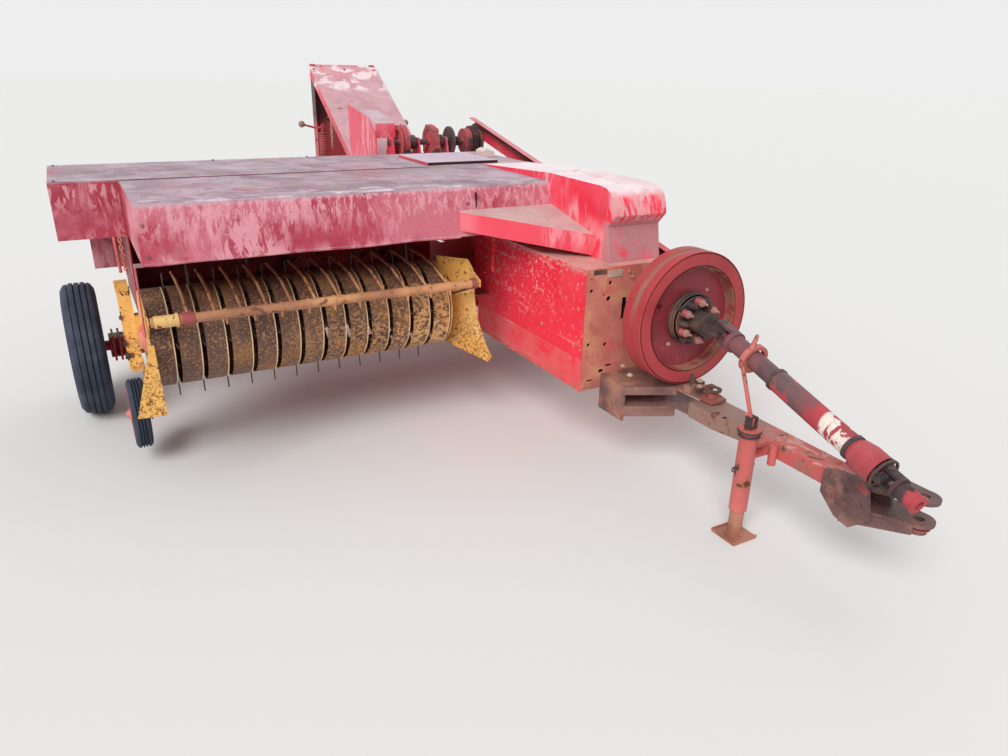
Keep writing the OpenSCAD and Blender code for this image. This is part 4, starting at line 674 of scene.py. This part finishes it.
def makePiece(name, body, material, build, edge=0.0):
    shape = bmesh.new()
    build(shape)
    finishPiece(name, shape, material, body, edge)


def boltPiece(name, body, material, places, direction, radius, height=None):
    def build(shape):
        for place in places:
            addBolt(shape, place, direction, radius, height)
    makePiece(name, body, material, build, 0.4)


# Hood: the rear sheet, painted shade in its seam gaps, the rolled lip, bolts and the small box beside the chain guard
hood = {"top": 1175, "seamY": 330, "rear": 966, "seamLeft": -560, "farRight": -2265, "right": -1996,
        "lipY": -400, "lipZ": 962, "shoulderY": -355, "shoulderZ": 1153}


def faceY(z):
    share = (z - hood["lipZ"]) / (hood["shoulderZ"] - hood["lipZ"])
    return hood["lipY"] + share * (hood["shoulderY"] - hood["lipY"])


makePiece("hoodRearSheet", "frame", redHood, lambda shape: addBlock(
    shape, (hood["farRight"], hood["seamY"], hood["top"]), (hood["seamLeft"], hood["rear"], hood["top"] + 3)), 0.8)


# near-black strips along the seam gaps: painted shade
def hoodGapShade(shape):
    addBlock(shape, (hood["right"], 319, hood["top"] - 1), (hood["seamLeft"] + 30, hood["seamY"], hood["top"] + 0.7))
    addBlock(shape, (-2003, 313, 938), (-1997, 316, hood["top"] - 3))
    addPrism(shape, [(-613, 1080), (-609, 1080), (-609, 1146), (-613, 1146)], "Y", faceY(1080) - 2, 14)


makePiece("hoodGapShade", "frame", gapShadePaint, hoodGapShade)


def hoodLip(shape):
    path = [(hood["right"] + 1, hood["lipY"] + 4, hood["lipZ"])]
    for index in range(1, 24):
        x = hood["right"] + index * 55
        path.append((x, hood["lipY"] + 4 + 2 * noise.noise((x / 300, 0, 0)), hood["lipZ"] + 5 *
                     noise.noise((x / 260, 3, 0))))
    path.append((-700, hood["lipY"] + 4, hood["lipZ"]))
    sweep(shape, path, 6.5, 8)


makePiece("hoodLip", "frame", redHood, hoodLip)
boltPiece("hoodBolts", "frame", bracketSteel, [(-1975, faceY(1101), 1101), (-1972, faceY(987), 987),
          (-650, faceY(1100), 1100)], (0, -1, 0.24), 5)
boltPiece("hoodTopBolts", "frame", darkIron, [(x, y, hood["top"] + (3 if x < -600 else 0)) for x, y in (
          (-2240, 350), (-2240, 940), (-1500, 948), (-1000, 948), (-590, 948), (-300, 930), (-560, 700))],
          (0, 0, 1), 5, 3)
# near-black strip in the gap beside the cover: painted shade
makePiece("coverGapShade", "frame", gapShadePaint, lambda shape: addBlock(shape, (-509, 388, 1174), (-91, 391, 1189)))
makePiece("knotterStep", "frame", creamPaint, lambda shape: addPrism(
    shape, [(-54, 1175), (-54, 1212), (-22, 1226), (26, 1206), (26, 1175)], "Y", 640, 90), 4)
print("hood finished")

# Box: screws, the strip along its foot, the pointed gusset, front plate bolts and the blank plate
boxSide = -375
boltPiece("boxScrews", "frame", rustPlate, [(boxSide, y, z) for y, z in (
    (-727, 846), (-445, 757), (-727, 750), (-587, 568), (-874, 716), (-871, 563), (-155, 761), (-584, 723),
    (-13, 676))], (-1, 0, 0), 6.5, 4)


def boxTrim(shape):
    addBlock(shape, (boxSide - 1.6, -905, 486), (boxSide + 0.5, 52, 490.5))
    addBlock(shape, (boxSide - 1.2, -905, 350), (boxSide + 0.5, 52, 487))
    addBlock(shape, (boxSide - 3, -913, 349), (boxSide + 4, -898, 893))
    addPrism(shape, [(-8, 872), (-108, 876), (-112, 868), (-106, 700), (-92, 780), (-20, 862)], "X",
             boxSide - 12, 12)


makePiece("boxTrim", "frame", redBox, boxTrim, 0.8)
makePiece("boxSideSheet", "frame", redBox, lambda shape: addBlock(
    shape, (boxSide - 1, -906, 350), (boxSide + 1, 58, 892)))
makePiece("blankPlate", "frame", paleSteel, lambda shape: addBlock(shape, (-262, -914.5, 850), (-188, -912, 880)),
          0.6)
makePiece("sealStrip", "frame", darkIron, lambda shape: addBlock(shape, (-335, -914, 868), (-270, -912, 888)), 0.6)
boltPiece("frontPlateBolts", "frame", rustPlate, [(x, -912, z) for x, z in (
    (-352, 862), (-150, 866), (40, 868), (62, 760), (62, 560), (60, 400), (-60, 372), (-210, 372), (-354, 372),
    (-356, 520), (-120, 560), (-130, 840))], (0, -1, 0), 6, 5)


def hubHousing(shape):
    spinProfile(shape, [(108, 0), (108, 14), (96, 20), (80, 22), (76, 60), (60, 66), (0, 66)],
                (0, -912, flywheelAxis), (0, -1, 0), 48)


makePiece("gearboxFlange", "frame", darkIron, hubHousing, 1)
boltPiece("gearboxFlangeBolts", "frame", darkIron, [
    (92 * math.cos(math.tau * (i + 0.5) / 8), -932, flywheelAxis + 92 * math.sin(math.tau * (i + 0.5) / 8))
    for i in range(8)], (0, -1, 0), 7, 7)
print("box finished")

# Flywheel and slip clutch
clutch = {"z": flywheelAxis, "bolts": 6, "ring": 80, "springFront": -1208, "springRear": -1178}


def aroundHub(radius, index, count, start=0.0):
    angle = math.tau * index / count + start
    return radius * math.sin(angle), clutch["z"] + radius * math.cos(angle)


def clutchSprings(shape):
    for index in range(clutch["bolts"]):
        x, z = aroundHub(clutch["ring"], index, clutch["bolts"])
        sweep(shape, coilPath((x, clutch["springFront"], z), (x, clutch["springRear"], z), 13.5, 5), 3, 6)


def clutchNuts(shape):
    for index in range(clutch["bolts"]):
        x, z = aroundHub(clutch["ring"], index, clutch["bolts"])
        addBolt(shape, (x, clutch["springFront"] - 4, z), (0, -1, 0), 11, 12)
        addRod(shape, (x, clutch["springFront"] - 14, z), (x, clutch["springFront"] - 34, z), 6, 4.5)


makePiece("clutchSprings", "flywheel", redIron, clutchSprings)
makePiece("clutchNuts", "flywheel", paleRust, clutchNuts, 0.5)


def clutchPlates(shape):
    for start, radius, width in ((-1180, 100, 8), (-1170, 108, 10), (-1156, 112, 10)):
        spinProfile(shape, [(60, 0), (radius - 3, 0), (radius, 3), (radius, width - 3), (radius - 3, width),
                            (60, width)], (0, start, clutch["z"]), (0, 1, 0), 40)
    for index in range(4):
        x, z = aroundHub(98, index, 4, 0.6)
        addRod(shape, (x, -1188, z), (x, -1128, z), 12, segments=12)


makePiece("clutchPlates", "flywheel", darkIron, clutchPlates, 0.6)
flywheelFace = -1124
boltPiece("flywheelBolts", "flywheel", paleRust, [
    (aroundHub(140, i, 2, 0.7)[0], flywheelFace, aroundHub(140, i, 2, 0.7)[1]) for i in range(2)],
    (0, -1, 0), 9, 12)


# near-black disc where the flywheel has a hole: painted shade
def flywheelHoleShade(shape):
    x, z = aroundHub(180, 0, 1, -1.08)
    addRod(shape, (x, flywheelFace - 0.6, z), (x, flywheelFace + 3, z), 12, segments=20)


makePiece("flywheelHoleShade", "flywheel", gapShadePaint, flywheelHoleShade)
makePiece("flywheelLip", "flywheel", flywheelRed, lambda shape: [
    addRing(shape, (0, -1174, clutch["z"]), (0, -1, 0), 224, 230, 4, 72),
    addRing(shape, (0, -1174, clutch["z"]), (0, -1, 0), 277, 282, 4, 72)], 0.8)
print("flywheel finished")

# Pickup, its wind guard and the gauge wheel
guard = {"y": -400, "z": 742, "bolts": (-1728, -1620, -1511, -1400, -1292, -1183, -1080, -964, -856, -760)}


def guardClamps(shape):
    for x in guard["bolts"]:
        addRing(shape, (x, guard["y"], guard["z"]), (1, 0, 0), 19.5, 23, 9, 20)
        addBolt(shape, (x, guard["y"] - 8, guard["z"] - 20), (0, -0.35, -1), 6.5, 8)
        addRod(shape, (x, guard["y"] - 8, guard["z"] - 22), (x, guard["y"] - 14, guard["z"] - 38), 4, segments=8)


makePiece("guardClamps", "wind_guard", guardPaint, guardClamps, 0.4)
makePiece("guardSleeve", "wind_guard", yellowPaint, lambda shape: [
    addRod(shape, (-1990, guard["y"], guard["z"]), (-1905, guard["y"], guard["z"]), 24, segments=28),
    addRing(shape, (-1907, guard["y"], guard["z"]), (1, 0, 0), 20, 28, 10)], 1)
makePiece("guardCollar", "wind_guard", redIron, lambda shape: [
    addRing(shape, (x, guard["y"], guard["z"]), (1, 0, 0), 20, 25, width) for x, width in ((-1868, 46), (-640, 24))],
    1)
makePiece("dividerBrace", "pickup", darkIron, lambda shape: [
    sweep(shape, [(-612, -386, 726), (-640, -340, 700), (-690, -250, 660), (-700, -190, 640)], 5, 8),
    addRing(shape, (-606, guard["y"], guard["z"]), (1, 0, 0), 10, 18, 5, 20)], 0.4)
boltPiece("dividerBolts", "pickup", paleSteel, [(-612, -330, 770), (-612, -302, 745), (-612, -372, 752)],
          (-1, 0, 0), 6)
boltPiece("outerDividerBolts", "pickup", darkIron, [(-2018, y, z) for y, z in (
    (-385, 620), (-300, 585), (-395, 450), (-330, 520))], (-1, 0, 0), 7)


def reelBearings(shape):
    for x, way in ((-2014, -1), (-710, 1)):
        spinProfile(shape, [(62, 0), (62, 5), (44, 8), (40, 20), (34, 24), (0, 24)], (x, -130, 597), (way, 0, 0), 36)
        for index in range(4):
            angle = math.tau * (index + 0.5) / 4
            addBolt(shape, (x + way * 5, -130 + 52 * math.cos(angle), 597 + 52 * math.sin(angle)), (way, 0, 0), 6)


makePiece("reelBearings", "pickup", rustPlate, reelBearings, 0.5)
boltPiece("bandBolts", "pickup", darkIron, [(bandStart + bandPitch * i + x, 191, z) for i in range(13) for x, z in (
    (25, 600), (57, 600), (25, 580), (57, 580))], (0, 1, 0), 5)


def tineCoils(shape):
    for index in range(12):
        x = bandStart + 91 + index * bandPitch
        for side in (-1, 1):
            path = coilPath((x - 4 + side * 6, -130, 727), (x + 8 + side * 6, -130, 727), 14, 2, 10)
            sweep(shape, path, 2.6, 5)


makePiece("tineCoils", "reel", wornSteel, tineCoils)


def gaugeArmParts(shape):
    addBolt(shape, (-2084, 20, 540), (-1, 0, 0), 11)
    addBolt(shape, (-2084, 70, 640), (-1, 0, 0), 9)
    addRod(shape, (-2096, 8, 486), (-2064, 8, 486), 13, segments=18)
    addRing(shape, (-2086, 8, 486), (1, 0, 0), 12, 20, 6, 20)


makePiece("gaugeArmParts", "pickup", darkIron, gaugeArmParts, 0.5)
makePiece("gaugeArmEdges", "pickup", yellowPaint, lambda shape: [
    addPrism(shape, outline, "X", -2086, 5) for outline in (
        [(-28, 425), (-20, 422), (132, 757), (124, 760)], [(20, 428), (28, 425), (180, 745), (172, 748)])], 0.6)
makePiece("liftRod", "frame", jackPaint, lambda shape: [
    sweep(shape, [(-2052, 330, 950), (-2052, 300, 900), (-2052, 230, 850), (-2052, 165, 815)], 7, 10),
    addRod(shape, (-2074, 330, 948), (-2030, 330, 948), 5, segments=10)])
makePiece("liftChain", "frame", rustPlate, lambda shape: addChain(
    shape, [(-2030, 312, 930), (-2030, 240, 858), (-2030, 165, 806)]))
print("pickup finished")


# Wheels
wheels = {  # place of the hub, outboard way, rim radius, half width, tyre radius, hub end
    "right_wheel": ((-2239, 683, 326), -1, 195, 54, 326, -50),
    "left_wheel": ((480, 683, 365), 1, 195, 72, 365, 34),
    "gauge_wheel": ((-2080, 0, 222), -1, 110, 32, 156, -34),
}
for bodyName, ((x, y, z), way, rimR, half, tyreR, hubEnd) in wheels.items():
    wheelName = bodyName.replace("_wheel", "Wheel")
    hubR = 26 if bodyName == "gauge_wheel" else 46

    def hubCap(shape):
        spinProfile(shape, [(hubR, -6), (hubR, 2), (hubR - 6, 8), (hubR * 0.6, 12), (hubR * 0.5, 18), (0, 20)],
                    (x + hubEnd, y, z), (way, 0, 0), 32)
        for index in range(5):
            angle = math.tau * index / 5
            ring = hubR + rimR * 0.15
            addBolt(shape, (x + way * 6, y + ring * math.cos(angle), z + ring * math.sin(angle)), (way, 0, 0),
                    rimR * 0.045 + 2)

    def rimLips(shape):
        for side in (-1, 1):
            addRing(shape, (x + side * (half + 1), y, z), (1, 0, 0), rimR - 6, rimR + 5, 5, 48)

    def sideRings(shape):
        for side in (-1, 1):
            middle = (rimR + tyreR) / 2
            spinProfile(shape, [(middle - 6, half * 1.28), (middle - 4, half * 1.375), (middle + 4, half * 1.38),
                                (middle + 6, half * 1.28), (middle - 6, half * 1.28)], (x, y, z), (side, 0, 0), 64)

    makePiece(wheelName + "Hub", bodyName, rustPlate, hubCap, 0.5)
    makePiece(wheelName + "Lips", bodyName, redFrame, rimLips, 1)
    if bodyName != "gauge_wheel":
        makePiece(wheelName + "SideRings", bodyName, blackRubber, sideRings)
    makePiece(wheelName + "Valve", bodyName, blackRubber, lambda shape: addRod(
        shape, (x + way * 8, y, z + rimR - 22), (x + way * 34, y, z + rimR - 30), 4, 3, 8))


def axleParts(shape):
    for px in (-2100, -2128):
        addBlock(shape, (px, 618, 262), (px + 10, 748, 392))
    for px in (-1930, -1150, -340, 40):
        for y in (652, 714):
            addRod(shape, (px, y, 268), (px, y, 392), 7, segments=10)
        addBlock(shape, (px - 26, 636, 264), (px + 26, 730, 274))
    addBlock(shape, (348, 618, 262), (358, 748, 392))


makePiece("axleParts", "frame", redFrame, axleParts, 1)
print("wheels finished")


# Knotters, chain and springs
knotter = {"y": 1400, "z": 1200, "heads": (-252, -44)}


def knotterRims(shape):
    for x, ring, width in ((-280, 105, 6), (-236, 105, 6), (-62, 100, 6), (-28, 100, 6)):
        addRing(shape, (x, knotter["y"], knotter["z"]), (1, 0, 0), ring - 26, ring + 3, width, 40)
    for angle in (70, 130, 200, 320):
        y = knotter["y"] + 92 * math.cos(math.radians(angle))
        z = knotter["z"] + 92 * math.sin(math.radians(angle))
        addRod(shape, (-66, y, z), (-22, y, z), 20, segments=20)


def knotterCams(shape):
    addPrism(shape, [(1372, 1180), (1376, 1240), (1386, 1264), (1400, 1272), (1414, 1264), (1424, 1240),
                     (1428, 1180)], "X", 84, 10)
    for x in (238, 246, 254, 262):
        addRing(shape, (x, knotter["y"], knotter["z"]), (1, 0, 0), 70, 97, 4, 40)
    for head in knotter["heads"]:
        addBlock(shape, (head - 26, 1284, 1092), (head + 26, 1330, 1150))
        addRod(shape, (head, 1308, 1150), (head, 1352, 1188), 13, segments=16)
        addRod(shape, (head - 32, 1300, 1120), (head + 32, 1300, 1120), 10, segments=14)
        sweep(shape, [(head, 1296, 1098), (head, 1276, 1078), (head, 1262, 1050), (head + 10, 1270, 1020)], 6, 8)
        addPrism(shape, [(1330, 960), (1372, 952), (1380, 1100), (1352, 1160), (1330, 1100)], "X", head + 34, 9)
        spinProfile(shape, [(12, 0), (42, 0), (44, 5), (26, 18), (12, 20), (12, 0)], (head + 12, 1318, 1128),
                    (1, 0, 0), 24)
    for x in (-150, 10, 150):
        addRing(shape, (x, knotter["y"], knotter["z"]), (1, 0, 0), 19, 30, 22, 24)


makePiece("knotterRims", "frame", redIron, knotterRims, 1)
makePiece("knotterCams", "frame", darkIron, knotterCams, 1)


def knotterSprings(shape):
    for head in knotter["heads"]:
        sweep(shape, coilPath((head - 20, 1440, 1160), (head - 20, 1490, 1010), 9, 9, 10), 2, 5)


makePiece("knotterSprings", "frame", redIron, knotterSprings)
chainLoop = {"front": (-600, 780, 60), "rear": (1400, 1200, 105), "x": 292, "pitch": 30}


def chainLinks(shape):
    (y0, z0, r0), (y1, z1, r1) = chainLoop["front"], chainLoop["rear"]
    run = Vector((y1 - y0, z1 - z0))
    turned = math.atan2(run.y, run.x)
    for side in (1, -1):
        lean = side * math.asin((r1 - r0) / run.length)
        normal = Vector((-math.sin(turned + lean), math.cos(turned + lean))) * side
        start = Vector((y0, z0)) + normal * r0
        end = Vector((y1, z1)) + normal * r1
        steps = int((end - start).length / chainLoop["pitch"])
        for index in range(steps):
            middle = start.lerp(end, (index + 0.5) / steps)
            along = (end - start).normalized() * chainLoop["pitch"] * 0.36
            for x in (chainLoop["x"] - 10, chainLoop["x"] + 8):
                addRod(shape, (x, middle.x - along.x, middle.y - along.y), (x, middle.x + along.x,
                       middle.y + along.y), 7.5, segments=6)
            addRod(shape, (chainLoop["x"] - 12, middle.x, middle.y), (chainLoop["x"] + 12, middle.x, middle.y), 4,
                   segments=6)


makePiece("chainLinks", "frame", darkIron, chainLinks)
boltPiece("chainGuardBolts", "frame", darkIron, [(310, y, z) for y, z in (
    (-500, 820), (0, 930), (500, 1036), (1000, 1140), (1380, 1222))], (1, 0, 0), 7)
tension = {"sides": (-410, 120), "y": 2640, "low": 1000, "high": 1165}


def tensionCoils(shape):
    for x in tension["sides"]:
        sweep(shape, coilPath((x, tension["y"], tension["low"]), (x, tension["y"], tension["high"]), 29, 9, 14), 5,
              6)
        sweep(shape, coilPath((x, tension["y"], 1170), (x, tension["y"], 1236), 12, 9, 10), 1.8, 4)
        addRing(shape, (x, tension["y"], 1168), (0, 0, 1), 12, 34, 6, 24)


makePiece("tensionCoils", "frame", redIron, tensionCoils)
boltPiece("tensionBolts", "frame", darkIron, [(x, 2609, z) for x in (-440, -380, 90, 150) for z in (528, 972)],
          (0, -1, 0), 9)
makePiece("crankBalls", "frame", wornSteel, lambda shape: [
    addBall(shape, (x, 2640, 1235), 24.6) for x in (-568, 278)])
print("knotters finished")


# Chute
makePiece("chuteChain", "chute_base", paleSteel, lambda shape: [
    addChain(shape, [(-290, 2800, 1272), (-290, 2800, 1040)], 30, 3),
    addRod(shape, (-290, 2796, 1272), (-290, 2884, 1272), 6, segments=10)])


def chuteRibs(shape):
    for x in (-330, -150, 30):
        addBlock(shape, (x, 2889, 620), (x + 22, 2899, 1600))
    for z in (700, 1150):
        addBlock(shape, (-380, 2889, z), (90, 2897, z + 22))


makePiece("chuteRibs", "chute_base", redFrame, chuteRibs, 1)
boltPiece("chuteBolts", "chute_base", darkIron, [(-405, 2840, z) for z in (700, 900, 1100, 1300)], (-1, 0, 0), 6)
chuteTurn = math.radians(32)


def onChute(along, rise):
    return (2890 - along * math.cos(chuteTurn) - rise * math.sin(chuteTurn),
            1652 - along * math.sin(chuteTurn) + rise * math.cos(chuteTurn))


def chuteEdges(shape):
    for x in (-413, 123):
        low, high = onChute(1122, 1), onChute(60, 1)
        addRod(shape, (x, *low), (x, *high), 4, segments=8)
    addRod(shape, (-411, *onChute(1128, 0)), (121, *onChute(1128, 0)), 4.5, segments=8)


makePiece("chuteEdges", "chute_extension", redGuard, chuteEdges)
boltPiece("chutePanelBolts", "chute_extension", darkIron, [(x, *onChute(along, 3)) for x, along in (
    (-390, 60), (100, 60), (-390, 1080), (100, 1080), (-145, 60))], (0, -math.sin(chuteTurn), math.cos(chuteTurn)),
    6, 4)
print("chute finished")


# Drive shaft, tongue, hitch and jack
shaft = {"drop": math.radians(15.1), "yaw": math.radians(4.2), "pivot": (0, -1335, flywheelAxis),
         "ear": 34}
shaftWay = Vector((-math.sin(shaft["yaw"]) * math.cos(shaft["drop"]),
                   -math.cos(shaft["yaw"]) * math.cos(shaft["drop"]), -math.sin(shaft["drop"])))
shaftUp = Vector((-math.sin(shaft["yaw"]) * math.sin(shaft["drop"]),
                  -math.cos(shaft["yaw"]) * math.sin(shaft["drop"]), math.cos(shaft["drop"])))
shaftSide = Vector((math.cos(shaft["yaw"]), -math.sin(shaft["yaw"]), 0))


def onShaft(along, side=0.0, up=0.0):
    return Vector(shaft["pivot"]) + shaftWay * along + shaftSide * side + shaftUp * up


def shaftBands(shape):
    for along, inner, outer, width in ((338, 40, 45, 14), (724, 40, 47, 16), (776, 40, 50, 20), (858, 50, 59, 8)):
        addRing(shape, onShaft(along), shaftWay, inner, outer, width, 36)


def crossCaps(shape):
    for along in (0, 868):
        for way in (shaftSide, shaftUp):
            for side in (-1, 1):
                if along == 0 and way == shaftSide:
                    continue
                middle = onShaft(along) + way * side * (shaft["ear"] + 2)
                addRod(shape, middle, middle + way * side * 8, 14, 12, 18)
                addRing(shape, middle + way * side * 6, way, 8, 15, 3, 20)
    addBolt(shape, onShaft(955, 0, 29), shaftUp, 9)
    addBolt(shape, onShaft(938, 29, 0), shaftSide, 8)


makePiece("shaftBands", "drive_shaft", darkIron, shaftBands, 0.6)
makePiece("crossCaps", "drive_shaft", darkIron, crossCaps, 0.4)
makePiece("yokePlate", "drive_shaft", bellPaint, lambda shape: [
    addRing(shape, onShaft(922), shaftWay, 28, 40, 9, 32), addRing(shape, onShaft(998), shaftWay, 28, 34, 8, 32)], 1)


def hookLoop(shape):
    addRing(shape, onShaft(200), shaftWay, 44, 60, 22, 36)
    addRod(shape, onShaft(202, -30, 48), onShaft(188, -10, 96), 12, 7, 14)
    addBall(shape, onShaft(188, -10, 96), 7.4, 12)


makePiece("hookLoop", "tongue", jackPaint, hookLoop, 1)


def latchParts(shape):
    for x, y in ((10, -1243), (-35, -1290), (20, -1300)):
        addBlock(shape, (x - 16, y - 14, 440), (x + 16, y + 14, 452))
    addRod(shape, (-30, -1236, 452), (-30, -1236, 486), 9, segments=14)
    sweep(shape, [(-30, -1236, 484), (-60, -1262, 488), (-92, -1296, 474)], 6, 8)
    addRing(shape, (0, -1335, 450), (0, 0, 1), 20, 34, 8, 28)


makePiece("latchParts", "frame", darkIron, latchParts, 0.8)
boltPiece("latchBolts", "frame", paleSteel, [(10, -1243, 452), (-35, -1290, 452), (-180, -960, 453),
          (-60, -960, 453), (-220, -1060, 453), (40, -990, 453)], (0, 0, 1), 9)


# near-black marks where the tongue has slots and a hole: painted shade
def tongueSlotShade(shape):
    addBlock(shape, (-78, -1436, 396.6), (-50, -1428, 397.7))
    addBlock(shape, (-30, -1600, 396.6), (-8, -1560, 397.7))
    addRing(shape, (-70, -1480, 397.2), (0, 0, 1), 0.5, 9, 1.2, 16)


makePiece("tongueSlotShade", "tongue", gapShadePaint, tongueSlotShade)
boltPiece("tongueBolts", "tongue", rustPlate, [(30, y, 397) for y in (-1500, -1660, -1720, -1940)] + [
    (-30, -1720, 397), (-30, -1960, 397)], (0, 0, 1), 8)
boltPiece("hitchBolts", "tongue", hitchSteel, [(-62, y, z) for y, z in (
    (-1985, 385), (-2052, 402), (-2046, 362), (-2060, 300), (-2108, 335), (-2096, 396))], (-1, 0, 0), 7, 4)
boltPiece("hitchFarBolts", "tongue", redIron, [(62, y, z) for y, z in (
    (-1985, 385), (-2052, 402), (-2060, 300), (-2108, 335))], (1, 0, 0), 9)
makePiece("hitchRings", "tongue", redIron, lambda shape: [
    addRing(shape, (60, -2240, z), (0, 0, 1), 18.5, 40, 5, 36) for z in (402, 300)], 1)


def jackParts(shape):
    for z, outer, width in ((450, 45, 9), (432, 41, 6)):
        addRing(shape, (-152, -1684, z), (0, 0, 1), 33, outer, width, 32)
    addPrism(shape, [(-170, 459), (-134, 459), (-134, 506), (-142, 506), (-142, 470), (-162, 470), (-162, 506),
                     (-170, 506)], "Y", -1700, 30)
    addRod(shape, (-176, -1685, 498), (-128, -1685, 498), 5, segments=10)
    addRod(shape, (-200, -1684, 300), (-104, -1684, 300), 7, segments=12)
    addRing(shape, (-203, -1684, 300), (0, 1, 0), 7, 12, 4, 18)


makePiece("jackParts", "tongue", darkIron, jackParts, 0.6)
makePiece("footRim", "jack_leg", footRust, lambda shape: [
    addRing(shape, (-152, -1684, 12), (0, 0, 1), 26, 36, 6, 28), addBlock(shape, (-212, -1744, 9), (-92, -1738, 16)),
    addBlock(shape, (-212, -1630, 9), (-92, -1624, 16))], 1)
print("tongue finished")


# Twine box, chamber and underside
def lidHandle(shape):
    sweep(shape, [(500, 420, 1062), (500, 420, 1061.5), (500, 424, 1061), (500, 476, 1061), (500, 480, 1062)], 5, 8)
    addRod(shape, (560, 400, 1063), (560, 500, 1063), 6, segments=10)
    for y in (400, 500):
        addRod(shape, (560, y, 1050), (560, y, 1064), 6, segments=10)


makePiece("lidHandle", "twine_lid", darkIron, lidHandle)


def twineParts(shape):
    for y in (60, 300, 540, 780):
        addBlock(shape, (638, y, 766), (641.8, y + 26, 1040))
    for y in (180, 420, 660):
        addRing(shape, (560, y, 757), (0, 0, 1), 8, 16, 6, 20)


makePiece("twineParts", "frame", redFrame, twineParts, 0.8)


def chamberParts(shape):
    for z in (566, 916):
        for x in (-381, 85):
            addBlock(shape, (x, 980, z), (x + 6, 1250, z + 22))
    for right, left, places in ((-381, 91, (1010, 1120, 1230)), (-375, 85, (2100, 2380, 2760))):
        for y in places:
            for z in (577, 927):
                addBolt(shape, (right, y, z), (-1, 0, 0), 7)
                addBolt(shape, (left, y, z), (1, 0, 0), 7)


makePiece("chamberParts", "frame", redFrame, chamberParts, 0.5)


def underParts(shape):
    for x in (-1700, -1300, -900):
        addBlock(shape, (x, 250, 545), (x + 40, 890, 569))
    addRod(shape, (-1950, 470, 540), (-400, 470, 540), 14, segments=16)
    for x in (-1900, -700):
        addBlock(shape, (x, 446, 522), (x + 14, 494, 569))


makePiece("underParts", "frame", redFrame, underParts, 1)
boltPiece("rearWallBolts", "frame", darkIron, [(x, 969, z) for x in (-1900, -1500, -1100, -700, -450)
          for z in (700, 1100)], (0, 1, 0), 6)
print("box, chamber and underside finished")
